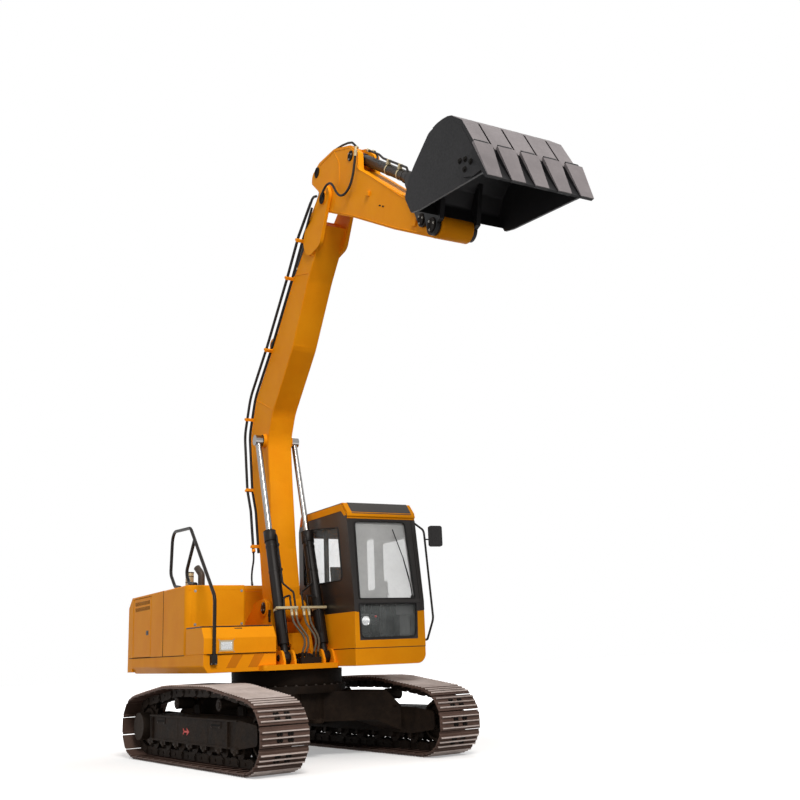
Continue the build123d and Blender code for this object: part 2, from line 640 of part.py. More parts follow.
def side_panels():
    """Fixed sheet round the engine bay, behind the tank and behind the cab."""
    z0, z1 = PLATFORM_TOP, PANEL_TOP - PANEL
    x = HOUSE_HALF
    g = PANEL_GAP
    rear = WEIGHT_FRONT_Y - g
    sheet = block(-x, -x + PANEL, TANK_REAR_Y + g, PUMP_DOOR_Y - g, z0, z1)
    sheet += block(-x, -x + PANEL, rear - 30, rear, z0, z1)
    sheet += block(-x, TANK_INNER_X, TANK_REAR_Y + g, TANK_REAR_Y + g + PANEL, z0, z1)
    sheet += block(TANK_INNER_X - PANEL, TANK_INNER_X, TANK_REAR_Y + g, HOOD_FRONT_Y - 40, z0, z1)
    sheet += block(TANK_INNER_X - PANEL, LEFT_WALL_X + PANEL, HOOD_FRONT_Y - 70, HOOD_FRONT_Y - 40, z0, z1)
    sheet += block(LEFT_WALL_X, LEFT_WALL_X + PANEL, LEFT_FRONT_Y, HOOD_FRONT_Y - 40, z0, z1)
    sheet += block(LEFT_WALL_X, x, LEFT_FRONT_Y, LEFT_FRONT_Y + PANEL, z0, z1)
    sheet += block(x - PANEL, x, LEFT_POST_Y - 30, LEFT_POST_Y + 30, z0, z1)
    sheet += block(x - PANEL, x, rear - 30, rear, z0, z1)
    top = floor_plan(outline([
        (-x, TANK_REAR_Y + g), (TANK_INNER_X, TANK_REAR_Y + g), (TANK_INNER_X, HOOD_FRONT_Y - 70),
        (LEFT_WALL_X, HOOD_FRONT_Y - 70), (LEFT_WALL_X, LEFT_FRONT_Y), (x, LEFT_FRONT_Y),
        (x, rear), (-x, rear)]),
        z1, PANEL_TOP)
    opening = block(-HOOD_HALF + 40, HOOD_HALF - 40, HOOD_FRONT_Y + 40, rear - 60, z1 - 1, PANEL_TOP + 1)
    return sheet + (top - opening)


PARTS["side_panels"] = [side_panels()]


def counterweight():
    """Cast tail weight with a crowned back, chamfered top and rounded lower edge."""
    side = machine_plane()
    profile = outline([
        (WEIGHT_FRONT_Y, DECK_BOTTOM + 20), (WEIGHT_REAR_Y + WEIGHT_CROWN, DECK_BOTTOM + 20, 110),
        (WEIGHT_REAR_Y + WEIGHT_CROWN, PANEL_TOP - 260, 60), (WEIGHT_FRONT_Y + 60, PANEL_TOP, 20),
        (WEIGHT_FRONT_Y, PANEL_TOP)])
    mass = slab(side, profile, -HOUSE_HALF, HOUSE_HALF)
    corner_x = HOUSE_HALF - 110
    back = Polyline((HOUSE_HALF, WEIGHT_REAR_Y - 110), (HOUSE_HALF, WEIGHT_FRONT_Y),
                    (-HOUSE_HALF, WEIGHT_FRONT_Y), (-HOUSE_HALF, WEIGHT_REAR_Y - 110))
    left = RadiusArc((-HOUSE_HALF, WEIGHT_REAR_Y - 110), (-corner_x, WEIGHT_REAR_Y), 110)
    crown = ThreePointArc(
        (-corner_x, WEIGHT_REAR_Y), (0, WEIGHT_REAR_Y + WEIGHT_CROWN), (corner_x, WEIGHT_REAR_Y))
    right = RadiusArc((corner_x, WEIGHT_REAR_Y), (HOUSE_HALF, WEIGHT_REAR_Y - 110), 110)
    plan = make_face(Curve() + [back, left, crown, right])
    mass = mass & floor_plan(plan, DECK_BOTTOM, PANEL_TOP)
    lug_z = PANEL_TOP + LIFT_EYE_RISE
    lug = lobe((LIFT_EYE_Y, lug_z, 65), (LIFT_EYE_Y, PANEL_TOP - 80, 90))
    lug -= Pos(LIFT_EYE_Y, lug_z) * Circle(LIFT_EYE_RADIUS)
    for x in (-LIFT_EYE_X, LIFT_EYE_X):
        mass += slab(side, lug, x - LIFT_EYE_THICK / 2, x + LIFT_EYE_THICK / 2)
    return mass


PARTS["counterweight"] = [counterweight()]

ENGINE = (-450, 560, 1560, 2380, PLATFORM_TOP + 60, 2020)
PARTS["engine"] = [block(*ENGINE)
                   + block(-300, -200, 1700, 2200, DECK_BOTTOM + DECK_THICK, PLATFORM_TOP + 61)
                   + block(220, 320, 1700, 2200, DECK_BOTTOM + DECK_THICK, PLATFORM_TOP + 61)]
PARTS["swing_motor"] = [post(0, 500, 165, DECK_BOTTOM + DECK_THICK, 1400) + post(0, 500, 110, 1399, 1620)]


def engine_hood():
    """Pressed cover over the engine, hinged along its front edge."""
    z = PANEL_TOP + 6
    pan = block(-HOOD_HALF, HOOD_HALF, HOOD_FRONT_Y, WEIGHT_FRONT_Y - 20, z, z + HOOD_HEIGHT)
    pan = chamfer(pan.edges().group_by(Axis.Z)[-1], 50)
    pan -= block(-HOOD_HALF + PANEL, HOOD_HALF - PANEL, HOOD_FRONT_Y + PANEL, WEIGHT_FRONT_Y - 20 - PANEL,
                 z - 1, z + HOOD_HEIGHT - PANEL)
    return pan


PARTS["engine_hood"] = [engine_hood()]


def bay_door(sign, y0, y1):
    """Flat side door with turned-in edges."""
    x = sign * HOUSE_HALF
    inner = x - sign * PANEL
    z0 = PLATFORM_TOP + PANEL_GAP
    z1 = PANEL_TOP - PANEL - PANEL_GAP
    return block(min(x, inner), max(x, inner), y0, y1, z0, z1)


REAR_DOOR_Y = WEIGHT_FRONT_Y - PANEL_GAP - 30 - PANEL_GAP
PARTS["pump_door"] = [bay_door(-1, PUMP_DOOR_Y, REAR_DOOR_Y)]
PARTS["cooler_door"] = [bay_door(1, LEFT_POST_Y + 30 + PANEL_GAP, REAR_DOOR_Y)]
PARTS["filter_door"] = [bay_door(1, LEFT_FRONT_Y + PANEL + PANEL_GAP, LEFT_POST_Y - 30 - PANEL_GAP)]

EXHAUST = (-HOUSE_HALF + 590, TANK_REAR_Y + 185)
pipe_top = PANEL_TOP + 330
exhaust = tube([(EXHAUST[0], EXHAUST[1], PANEL_TOP), (EXHAUST[0], EXHAUST[1], pipe_top - 90),
                (EXHAUST[0] - 40, EXHAUST[1] + 85, pipe_top + 10)], 48, [90])
PARTS["exhaust"] = [exhaust]
PRECLEANER = (-HOUSE_HALF + 430, TANK_REAR_Y + 220)
PARTS["air_precleaner"] = [post(*PRECLEANER, 40, PANEL_TOP, PANEL_TOP + 60)
                           + post(*PRECLEANER, 57, PANEL_TOP + 59, PANEL_TOP + 270)]

# handrails, (x, y, z) of each bend
RAIL_X = -HOUSE_HALF + 165
RAIL_FRONT_Y = TOOLBOX_FRONT_Y - 30
rail_loop = tube([
    (RAIL_X - 45, RAIL_FRONT_Y, PLATFORM_TOP - 60), (RAIL_X - 40, RAIL_FRONT_Y, PANEL_TOP - 195),
    (RAIL_X, TANK_FRONT_Y + 370, PANEL_TOP + 780), (RAIL_X, TANK_REAR_Y + 170, PANEL_TOP + 820),
    (RAIL_X, TANK_REAR_Y + 240, PANEL_TOP + 240), (RAIL_X, TANK_REAR_Y + 30, PANEL_TOP + 58),
    (RAIL_X, TANK_REAR_Y - 210, PANEL_TOP + 27)], RAIL_TUBE, [160, 180, 170, 110, 90])
foot = block(RAIL_X - 80, RAIL_X - 10, RAIL_FRONT_Y - RAIL_TUBE, TOOLBOX_FRONT_Y + 12,
             PLATFORM_TOP - 110, PLATFORM_TOP - 10)
rail_branch = tube([
    (RAIL_X - 3, TANK_FRONT_Y + 185, PANEL_TOP + 600), (RAIL_X, TANK_FRONT_Y + 540, PANEL_TOP + 200),
    (RAIL_X, TANK_FRONT_Y + 400, PANEL_TOP + 50), (RAIL_X, TANK_FRONT_Y + 130, PANEL_TOP + 24)],
    RAIL_TUBE, [90, 90])
PARTS["right_handrail"] = [
    rail_loop + foot + rail_branch
    + post(RAIL_X, TANK_REAR_Y - 190, RAIL_TUBE + 8, PANEL_TOP, PANEL_TOP + 35)
    + post(RAIL_X, TANK_FRONT_Y + 150, RAIL_TUBE + 8, PANEL_TOP, PANEL_TOP + 38)]


# ---------------------------------------------------------------- cab
def cab_profile(inset):
    """Side view of the cab, all walls moved in by inset."""
    front = CAB_FRONT_Y + inset
    lean = CAB_LEAN
    return outline([
        (front, CAB_SILL + inset), (front, CAB_BELT), (front + lean, CAB_BROW - inset, 40),
        (front + lean + 150, CAB_ROOF - inset, 40), (CAB_REAR_Y - 90 - inset, CAB_ROOF - inset, 60),
        (CAB_REAR_Y - inset, CAB_BROW - 60 - inset, 60), (CAB_REAR_Y - inset, CAB_SILL + inset)])


def cab_front_y(z):
    """Front face of the cab at a height."""
    if z <= CAB_BELT:
        return CAB_FRONT_Y
    return CAB_FRONT_Y + CAB_LEAN * (z - CAB_BELT) / (CAB_BROW - CAB_BELT)


def front_view(points):
    """Closed outline seen from ahead, u = x, v = z."""
    return outline(points)


def through_front(face, y0, y1):
    """Extrude a front-view face from y0 back to y1."""
    return Plane.XZ.location * Pos(0, 0, -y1) * extrude(face, amount=y1 - y0)


GLASS_LOW = front_view([(450, 1430, 70), (1230, 1430, 70), (1250, 1850, 12), (430, 1850, 12)])
GLASS_UP = front_view([(440, 1905, 30), (1240, 1905, 30), (1205, 2900, 60), (465, 2900, 60)])
GLASS_REAR = front_view([(480, 2080, 50), (1240, 2080, 50), (1240, 2860, 50), (480, 2860, 50)])
WINDOW_RIGHT = [(-985, 2165, 60), (-890, 2850, 60), (210, 2935, 60), (210, 2165, 60)]
WINDOW_QUARTER = [(-70, 2100, 50), (-70, 2830, 50), (260, 2830, 60), (260, 2100, 60)]
WINDOW_DOOR = [(-1085, 1900, 50), (-1020, 2730, 50), (-230, 2730, 60), (-230, 1900, 60)]
SKYLIGHT = (520, 1200, -900, -350)


def door_outline(grow):
    lean = 85
    return outline([
        (DOOR_FRONT_Y - grow, DOOR_BOTTOM - grow, 30), (DOOR_FRONT_Y - grow, CAB_BELT),
        (DOOR_FRONT_Y + lean - grow, DOOR_TOP + grow, 60), (DOOR_REAR_Y + grow, DOOR_TOP + grow, 30),
        (DOOR_REAR_Y + grow, DOOR_BOTTOM - grow, 30)])


def cab_shell():
    """Hollow cab with window and door openings."""
    side = machine_plane()
    outer = slab(side, cab_profile(0), CAB_RIGHT, CAB_LEFT)
    inner = slab(side, cab_profile(CAB_WALL), CAB_RIGHT + CAB_WALL, CAB_LEFT - CAB_WALL)
    shell = outer - inner
    shell -= through_front(GLASS_LOW, CAB_FRONT_Y - 10, CAB_FRONT_Y + CAB_WALL + 10)
    shell -= through_front(GLASS_UP, CAB_FRONT_Y - 10, CAB_FRONT_Y + CAB_LEAN + CAB_WALL + 60)
    shell -= through_front(GLASS_REAR, CAB_REAR_Y - CAB_WALL - 60, CAB_REAR_Y + 10)
    shell -= slab(side, outline(WINDOW_RIGHT), CAB_RIGHT - 10, CAB_RIGHT + CAB_WALL + 10)
    shell -= slab(side, outline(WINDOW_QUARTER), CAB_LEFT - CAB_WALL - 10, CAB_LEFT + 10)
    shell -= slab(side, door_outline(DOOR_GAP), CAB_LEFT - CAB_WALL - 10, CAB_LEFT + 10)
    shell -= block(*SKYLIGHT, CAB_ROOF - 120, CAB_ROOF + 20)
    return shell


def cab_base():
    """Yellow plinth under the cab, rounded at its outer lower corner."""
    face = front_view([
        (CAB_RIGHT, DECK_BOTTOM + 15), (CAB_LEFT, DECK_BOTTOM + 15, 120),
        (CAB_LEFT, CAB_SILL), (CAB_RIGHT, CAB_SILL)])
    return through_front(face, CAB_FRONT_Y, CAB_REAR_Y - 2)


def pane(face_points, x0, x1):
    return slab(machine_plane(), outline(face_points), x0, x1)


def cab_glass():
    """Fixed panes, set in the middle of the walls they close."""
    side = machine_plane()
    mid = CAB_WALL / 2
    front_line = outline([
        (CAB_FRONT_Y + mid - GLASS / 2, 1400), (CAB_FRONT_Y + mid - GLASS / 2, CAB_BELT),
        (CAB_FRONT_Y + CAB_LEAN + mid - GLASS / 2, CAB_BROW - 10),
        (CAB_FRONT_Y + CAB_LEAN + mid + GLASS / 2, CAB_BROW - 10),
        (CAB_FRONT_Y + mid + GLASS / 2, CAB_BELT), (CAB_FRONT_Y + mid + GLASS / 2, 1400)])
    front_sheet = slab(side, front_line, CAB_RIGHT, CAB_LEFT)
    panes = [
        front_sheet & through_front(GLASS_LOW, CAB_FRONT_Y, CAB_FRONT_Y + 60),
        front_sheet & through_front(GLASS_UP, CAB_FRONT_Y, CAB_FRONT_Y + CAB_LEAN + 60),
        through_front(GLASS_REAR, CAB_REAR_Y - mid - GLASS / 2, CAB_REAR_Y - mid + GLASS / 2),
        pane(WINDOW_RIGHT, CAB_RIGHT + mid - GLASS / 2, CAB_RIGHT + mid + GLASS / 2),
        pane(WINDOW_QUARTER, CAB_LEFT - mid - GLASS / 2, CAB_LEFT - mid + GLASS / 2),
        block(*SKYLIGHT, CAB_ROOF - mid - GLASS / 2, CAB_ROOF - mid + GLASS / 2),
    ]
    return panes


PARTS["cab_shell"] = [cab_shell()]
PARTS["cab_base"] = [cab_base()]
PARTS["cab_glass"] = cab_glass()
PARTS["cab_door"] = [slab(machine_plane(), door_outline(0), CAB_LEFT - CAB_WALL, CAB_LEFT)
                     - slab(machine_plane(), outline(WINDOW_DOOR), CAB_LEFT - CAB_WALL - 5, CAB_LEFT + 5)]
door_mid = CAB_LEFT - CAB_WALL / 2
PARTS["cab_door_glass"] = [pane(WINDOW_DOOR, door_mid - GLASS / 2, door_mid + GLASS / 2)]

FLOOR_Z = CAB_SILL + CAB_WALL
SEAT_X = 860.0
SEAT_Y = -330.0


def operator_seat():
    """Suspension base, cushion and backrest."""
    side = machine_plane()
    base = block(SEAT_X - 180, SEAT_X + 180, SEAT_Y - 200, SEAT_Y + 220, FLOOR_Z, FLOOR_Z + 260)
    cushion = block(SEAT_X - 250, SEAT_X + 250, SEAT_Y - 270, SEAT_Y + 240, FLOOR_Z + 260, FLOOR_Z + 400)
    back = slab(side, outline([
        (SEAT_Y + 190, FLOOR_Z + 380, 20), (SEAT_Y + 330, FLOOR_Z + 1080, 50),
        (SEAT_Y + 440, FLOOR_Z + 1080, 50),
        (SEAT_Y + 320, FLOOR_Z + 380, 20)]), SEAT_X - 240, SEAT_X + 240)
    return base + cushion + back


def consoles():
    """Side consoles with joysticks and the travel levers ahead of the seat."""
    group = []
    for sign in (-1, 1):
        x = SEAT_X + sign * 345
        console = block(x - 65, x + 65, SEAT_Y - 330, SEAT_Y + 330, FLOOR_Z, FLOOR_Z + 520)
        console += post(x, SEAT_Y - 260, 14, FLOOR_Z + 519, FLOOR_Z + 760)
        console += post(x, SEAT_Y - 260, 28, FLOOR_Z + 700, FLOOR_Z + 790)
        group.append(console)
    for sign in (-1, 1):
        x = SEAT_X + sign * 70
        lever = block(x - 55, x + 55, -1010, -820, FLOOR_Z, FLOOR_Z + 40)
        lever += post(x, -900, 12, FLOOR_Z + 39, FLOOR_Z + 560)
        group.append(lever)
    return group


PARTS["operator_seat"] = [operator_seat()]
PARTS["controls"] = consoles()

# grab rail with its mirror, at the front left corner of the cab
rail_x = CAB_LEFT + 42
mirror_z = CAB_BROW - 315
cab_rail = tube([
    (CAB_LEFT, CAB_FRONT_Y + 225, CAB_BROW - 85), (rail_x, CAB_FRONT_Y + 225, CAB_BROW - 85),
    (rail_x, CAB_FRONT_Y - 8, CAB_BROW - 205), (rail_x, CAB_FRONT_Y - 150, CAB_SILL + 330),
    (rail_x, CAB_FRONT_Y + 20, CAB_SILL + 75), (CAB_LEFT, CAB_FRONT_Y + 20, CAB_SILL + 75)],
    CAB_RAIL_TUBE, [20, 110, 120, 20])
mirror_arm = tube([
    (rail_x, CAB_FRONT_Y - 37, mirror_z - 10), (rail_x + 6, MIRROR_Y + 90, mirror_z - 30),
    (rail_x - 4, MIRROR_Y - 5, mirror_z - 40)], 9, [40])
mirror_head = Box(MIRROR_WIDTH, MIRROR_THICK, MIRROR_HEIGHT)
mirror_head = fillet(mirror_head.edges().filter_by(Axis.Y), 30)
PARTS["cab_rail"] = [cab_rail + mirror_arm]
PARTS["rear_mirror"] = [
    Pos(rail_x - 4, MIRROR_Y - MIRROR_THICK / 2 - 6, mirror_z) * Rot(0, 0, -8) * mirror_head]


# ---------------------------------------------------------------- boom
BOOM = link_plane(FOOT_PIN, BOOM_RISE)
ARM = link_plane(TIP_PIN, ARM_RISE)
BUCKET = link_plane(BUCKET_PIN, BUCKET_RISE)
HALF = BOOM_WIDTH / 2
ARM_HALF = ARM_WIDTH / 2
ARM_CHEEK = ARM_HALF + 6

boom_side = outline([
    (-60, -165, 90), (300, -60), (770, 230, 300), (1600, 640, 600), (2120, 885, 500), (2520, 850, 500),
    (3450, 440, 900), (4390, 200, 900), (5200, -90), (5200, 200), (4380, 735, 500), (3390, 1165, 900),
    (2620, 1560, 420), (2060, 1590, 420), (1334, 1210, 900), (1080, 965, 400), (60, 370, 120),
    (-150, 150, 120)])


def boom():
    """Welded box beam with a bend at its middle, a foot boss and a forked tip."""
    beam = slab(BOOM, boom_side, -HALF, HALF)
    beam += slab(BOOM, Circle(185), -BOOM_FOOT_HALF, BOOM_FOOT_HALF)
    beam -= slab(BOOM, Circle(50 + PIN_PLAY), -BOOM_FOOT_HALF - 5, BOOM_FOOT_HALF + 5)
    slot = lobe((BOOM_LENGTH, 0, TIP_SWING), (BOOM_LENGTH + 600, 0, TIP_SWING))
    beam -= slab(BOOM, slot, -ARM_CHEEK, ARM_CHEEK)
    ear = lobe((BOOM_LENGTH, 0, 165), (4950, 250, 240), (4950, 60, 150))
    beam += pair(BOOM, ear, ARM_CHEEK, ARM_CHEEK + FORK_EAR)
    beam += pin(BOOM, (BOOM_LENGTH, 0), 45, -ARM_CHEEK - FORK_EAR, ARM_CHEEK + FORK_EAR)
    beam += pair(BOOM, Pos(BOOM_LENGTH, 0) * Circle(85), ARM_CHEEK + FORK_EAR, ARM_CHEEK + FORK_EAR + 16)
    reach = CYLINDER_X - EYE_HALF - SIDE_PLAY
    beam += pair(BOOM, Pos(*LIFT_PIN) * Circle(95), HALF - 1, reach)
    ear_in = ARM_CYL_TUBE + 1 + SIDE_PLAY
    ear = lobe((*ARM_CYL_BASE, 85), (3300, 1120, 90), (3620, 980, 90))
    beam += pair(BOOM, ear, ear_in, ear_in + 36)
    beam += pin(BOOM, ARM_CYL_BASE, 40, -ear_in - 36, ear_in + 36)
    return beam


PARTS["boom"] = [boom()]

pipe_route = [
    (560, 661), (1080, 965, 300), (1334, 1210, 500), (2060, 1590, 400), (2620, 1560, 600), (3390, 1165, 600),
    (4380, 735, 600), (4950, 520, 400), (5400, 240)]


def boom_pipe(x, route):
    """Hydraulic pipe along the boom's upper edge."""
    points = []
    for corner in route:
        y, z = point_on(FOOT_PIN, BOOM_RISE, (corner[0], corner[1] + PIPE_LIFT))
        points.append((x, y, z))
    return tube(points, PIPE_RADIUS, [corner[2] for corner in route[1:-1]])


PARTS["boom_pipes"] = [boom_pipe(PIPE_XS[0], pipe_route[:-1]), boom_pipe(PIPE_XS[1], pipe_route)]


# ---------------------------------------------------------------- arm
arm_side = outline([
    (-640, 250, 90), (-480, 430, 120), (-60, 640, 300), (430, 710, 160), (690, 640, 70), (800, 440, 90),
    (ARM_LENGTH - 910, 225), (ARM_LENGTH - 60, 150), (ARM_LENGTH - 60, -130), (ARM_LENGTH - 1010, -152, 400),
    (940, -142, 400),
    (230, -160, 120), (-90, -170, 150), (-300, 60, 200), (-600, 140, 60)])


def arm():
    """Tapered box beam with a tail for the arm cylinder and a hump for the bucket cylinder."""
    beam = slab(ARM, arm_side, -ARM_HALF, ARM_HALF)
    beam -= slab(ARM, Circle(45 + PIN_PLAY), -ARM_HALF - 5, ARM_HALF + 5)
    tail_slot = lobe((*ARM_CYL_EYE, 245), (ARM_CYL_EYE[0] - 300, ARM_CYL_EYE[1] - 80, 245))
    beam -= slab(ARM, tail_slot, -EYE_HALF - SIDE_PLAY, EYE_HALF + SIDE_PLAY)
    u, v = BUCKET_CYL_BASE
    hump_slot = outline([
        (u - 190, v + 300), (u - 190, v - 60, 60), (u - 60, v - 140, 60), (u + 420, v - 140),
        (u + 420, v + 300)])
    slot_half = BUCKET_CYL_TUBE + 1 + SIDE_PLAY
    beam -= slab(ARM, hump_slot, -slot_half, slot_half)
    beam += pin(ARM, BUCKET_CYL_BASE, 38, -ARM_HALF, ARM_HALF)
    nose_half = ARM_HALF + 40
    beam += slab(ARM, Pos(ARM_LENGTH, 0) * Circle(130), -nose_half, nose_half)
    reach = nose_half + SIDE_PLAY + 50
    beam += pin(ARM, (ARM_LENGTH, 0), 42, -reach, reach)
    cheek = ARM_HALF + SIDE_PLAY + 40
    beam += pin(ARM, ROCKER_PIN, 36, -cheek, cheek)
    return beam


PARTS["arm"] = [arm()]


# ---------------------------------------------------------------- bucket and its linkage
bucket_profile = [
    (1484, 10), (1063, 612, 160), (891, 715, 200), (655, 770, 200), (487, 740, 120), (209, 510),
    (99, 402, 60),
    (19, 215, 60), (150, 25, 20), (300, 8)]
NOSE_HALF = ARM_HALF + 40


def bucket():
    """Welded bucket: curved wrapper, side plates, side cutters, wear straps, teeth and ears."""
    half = BUCKET_WIDTH / 2
    outer = slab(BUCKET, outline(bucket_profile), -half, half)
    hollow = outline([
        (1484 - 40, -60), (1063 - 26, 612 - 24, 150), (891 - 8, 715 - 30, 180), (655, 770 - 30, 180),
        (487 + 14, 740 - 30, 110), (209 + 22, 510 - 22), (99 + 26, 402 - 14, 50), (19 + 34, 215, 50),
        (180, -60)])
    shell = outer - slab(BUCKET, hollow, -half + BUCKET_SIDE, half - BUCKET_SIDE)
    lip = outline([(1484, 10), (1530, -50), (1512, -62), (1400, 85), (1380, 120), (1410, 116)])
    shell += slab(BUCKET, lip, -half, half)
    cutter = outline([(1131, 60, 10), (1290, 20, 10), (1470, 30), (1380, 180), (1062, 270, 20)])
    shell += pair(BUCKET, cutter, half - 2, half + 22)
    strap = outline([(880, 735), (905, 752), (1085, 640), (1330, 300), (1310, 285), (1060, 620)])
    tooth = outline([(1290, 340), (1320, 365), (1352, 330), (1546, -52), (1512, -62), (1330, 285)])
    for i in range(5):
        x = -half + 60 + (BUCKET_WIDTH - 120) * i / 4
        shell += slab(BUCKET, strap, x - 55, x + 55)
        shell += slab(BUCKET, tooth, x - 75, x + 75)
    ear_in = NOSE_HALF + SIDE_PLAY
    ear = lobe((0, 0, 105), (*LINK_PIN, 85)) + outline([
        (-60, -70), (160, 30), (215, 512), (60, 560), (*LINK_PIN,), (-90, 60)])
    ear -= Circle(42 + PIN_PLAY)
    shell += pair(BUCKET, ear, ear_in, ear_in + 50)
    shell += pin(BUCKET, LINK_PIN, 38, -ear_in - 50, ear_in + 50)
    return shell


PARTS["bucket"] = [bucket()]
BUCKET_EAR_IN = NOSE_HALF + SIDE_PLAY

ROCKER = link_plane(ROCKER_AT, rise_of(ROCKER_AT, ROD_MEET_AT))
LINK = link_plane(LINK_AT, rise_of(LINK_AT, ROD_MEET_AT))


def rocker_levers():
    """Pair of levers outside the arm, one each side."""
    face = lobe((0, 0, 80), (ROCKER_LENGTH, 0, 75)) - Circle(36 + PIN_PLAY)
    x0 = ARM_HALF + SIDE_PLAY
    return [slab(ROCKER, face, x0, x0 + 34), slab(ROCKER, face, -x0 - 34, -x0)]


def bucket_link():
    """Fork-shaped link from the bucket's ears to the levers."""
    inner = EYE_HALF + SIDE_PLAY
    outer = ARM_HALF - 4
    cheek = lobe((0, 0, 78), (LINK_LENGTH, 0, 72))
    link = pair(LINK, cheek, inner, inner + 45)
    link += slab(LINK, Circle(78), -outer, outer)
    brace = outline([(90, -50), (LINK_LENGTH - 190, -40), (LINK_LENGTH - 190, 40), (90, 50)])
    link += slab(LINK, brace, -inner - 2, inner + 2)
    link -= slab(LINK, Circle(38 + PIN_PLAY), -outer - 5, outer + 5)
    link += pair(LINK, Pos(LINK_LENGTH, 0) * Circle(72), inner + 44, outer)
    return link


PARTS["rocker_levers"] = rocker_levers()
PARTS["bucket_link"] = [bucket_link()]


# ---------------------------------------------------------------- hydraulic cylinders
# name: base pin, rod eye, base pin radius, base eye half width, tube radius, rod radius,
#       base to gland face, rod length behind its eye, x
CYLINDERS = {
    "boom_cylinder_right": (
        CYLINDER_FOOT, LIFT_AT, 40, EYE_HALF, BOOM_CYL_TUBE, 42, 1720, 1620, -CYLINDER_X),
    "boom_cylinder_left": (CYLINDER_FOOT, LIFT_AT, 40, EYE_HALF, BOOM_CYL_TUBE, 42, 1720, 1620, CYLINDER_X),
    "arm_cylinder": (ARM_BASE_AT, ARM_EYE_AT, 40, ARM_CYL_TUBE + 1, ARM_CYL_TUBE, 48, 1720, 1720, 0),
    "bucket_cylinder": (
        CURL_BASE_AT, ROD_MEET_AT, 38, BUCKET_CYL_TUBE + 1, BUCKET_CYL_TUBE, 42, 1480, 1360, 0),
}


def hydraulic(base, eye, pin_r, eye_half, tube_r, rod_r, gland, rod_length, x):
    """Tube with its base eye, and rod with its own eye."""
    plane = link_plane(base, rise_of(base, eye))
    reach = distance(base, eye)
    eye_r = pin_r + 34
    along = plane.location * Rot(0, 90, 0)

    def round_bar(radius, start, end):
        return along * Pos(0, 0, (start + end) / 2) * Cylinder(radius, end - start)

    barrel = round_bar(tube_r, NECK, gland) + round_bar(EYE_HALF - 2, 0, NECK + 1)
    barrel += round_bar(tube_r + GLAND_RISE, gland - GLAND_LENGTH, gland)
    barrel -= round_bar(rod_r + 1, NECK + 40, gland + 1)
    barrel += slab(plane, Circle(eye_r), -eye_half, eye_half)
    barrel -= slab(plane, Circle(pin_r + PIN_PLAY), -eye_half - 5, eye_half + 5)
    rod = round_bar(rod_r, reach - rod_length, reach)
    rod += slab(plane, Pos(reach, 0) * Circle(eye_r), -EYE_HALF, EYE_HALF)
    return Pos(x, 0, 0) * barrel, Pos(x, 0, 0) * rod


def hose_clamp(x0, x1, hoses):
    """Bar across the front of a boom cylinder, with the ferrules of two hoses below it."""
    plane = link_plane(CYLINDER_FOOT, rise_of(CYLINDER_FOOT, LIFT_AT))
    bar = outline([
        (HOSE_CLAMP_AT, -BOOM_CYL_TUBE - 30), (HOSE_CLAMP_AT + HOSE_CLAMP_THICK, -BOOM_CYL_TUBE - 30),
        (HOSE_CLAMP_AT + HOSE_CLAMP_THICK, -BOOM_CYL_TUBE + 8), (HOSE_CLAMP_AT, -BOOM_CYL_TUBE + 8)])
    clamp = slab(plane, bar, x0, x1)
    for hose in hoses:
        x = LIFT_HOSES[hose][0]
        start = Plane(origin=(x, *LIFT_HOSE_TOP), z_dir=(0, *ALONG))
        clamp += start.location * extrude(Circle(HOSE_FERRULE_RADIUS), amount=HOSE_FERRULE + 2)
    return clamp


CLAMP_REACH = CYLINDER_X + BOOM_CYL_TUBE + 4
for name, spec in CYLINDERS.items():
    tube_piece, rod_piece = hydraulic(*spec)
    if name == "boom_cylinder_right":
        inner = LIFT_HOSES["lift_hose_2"][0] + 30
        tube_piece += hose_clamp(-CLAMP_REACH, inner, ["lift_hose_1", "lift_hose_2"])
    if name == "boom_cylinder_left":
        inner = LIFT_HOSES["lift_hose_3"][0] - 30
        tube_piece += hose_clamp(inner, CLAMP_REACH, ["lift_hose_3", "lift_hose_4"])
    PARTS[name + "_tube"] = [tube_piece]
    PARTS[name + "_rod"] = [rod_piece]


# ---------------------------------------------------------------- hoses, free between their fittings
def free_hose(name, points, radius):
    """Hose along its route, each bend as large as its two runs allow."""
    corners = [Vector(*p) for p in points]
    bends = []
    for a, b, c in zip(corners, corners[1:], corners[2:]):
        turn = math.radians((b - a).get_angle(c - b))
        bends.append(0.45 * min((b - a).length, (c - b).length) / math.tan(turn / 2))
    print(name, "bend radii", [round(r) for r in bends])
    PARTS[name] = [tube(points, radius, bends)]


for name, (x, share) in LIFT_HOSES.items():
    start_y, start_z = LIFT_HOSE_STRAIGHT
    route = [(x, *LIFT_HOSE_TOP), (x, start_y, start_z)]
    for lean, ahead, drop in LIFT_HOSE_BENDS:
        route.append((x + LIFT_HOSE_LEAN * share * lean, start_y + ahead, start_z + drop))
    free_hose(name, route, LIFT_HOSE_RADIUS)

# arm hose, (x, along the arm, up from it): from the hump down in a loop, then over to the boom's tip pin
arm_hose = [
    (-185, 710, 590), (-190, 748, 470), (-198, 780, 345), (-208, 778, 215), (-220, 705, 112),
    (-232, 590, 72), (-240, 465, 112), (-242, 350, 178), (-242, 235, 210), (-242, 120, 175),
    (-242, 45, 85), (-242, 26, 6)]
free_hose("arm_hose", [(x, *point_on(TIP_PIN, ARM_RISE, (u, v))) for x, u, v in arm_hose], ARM_HOSE_RADIUS)

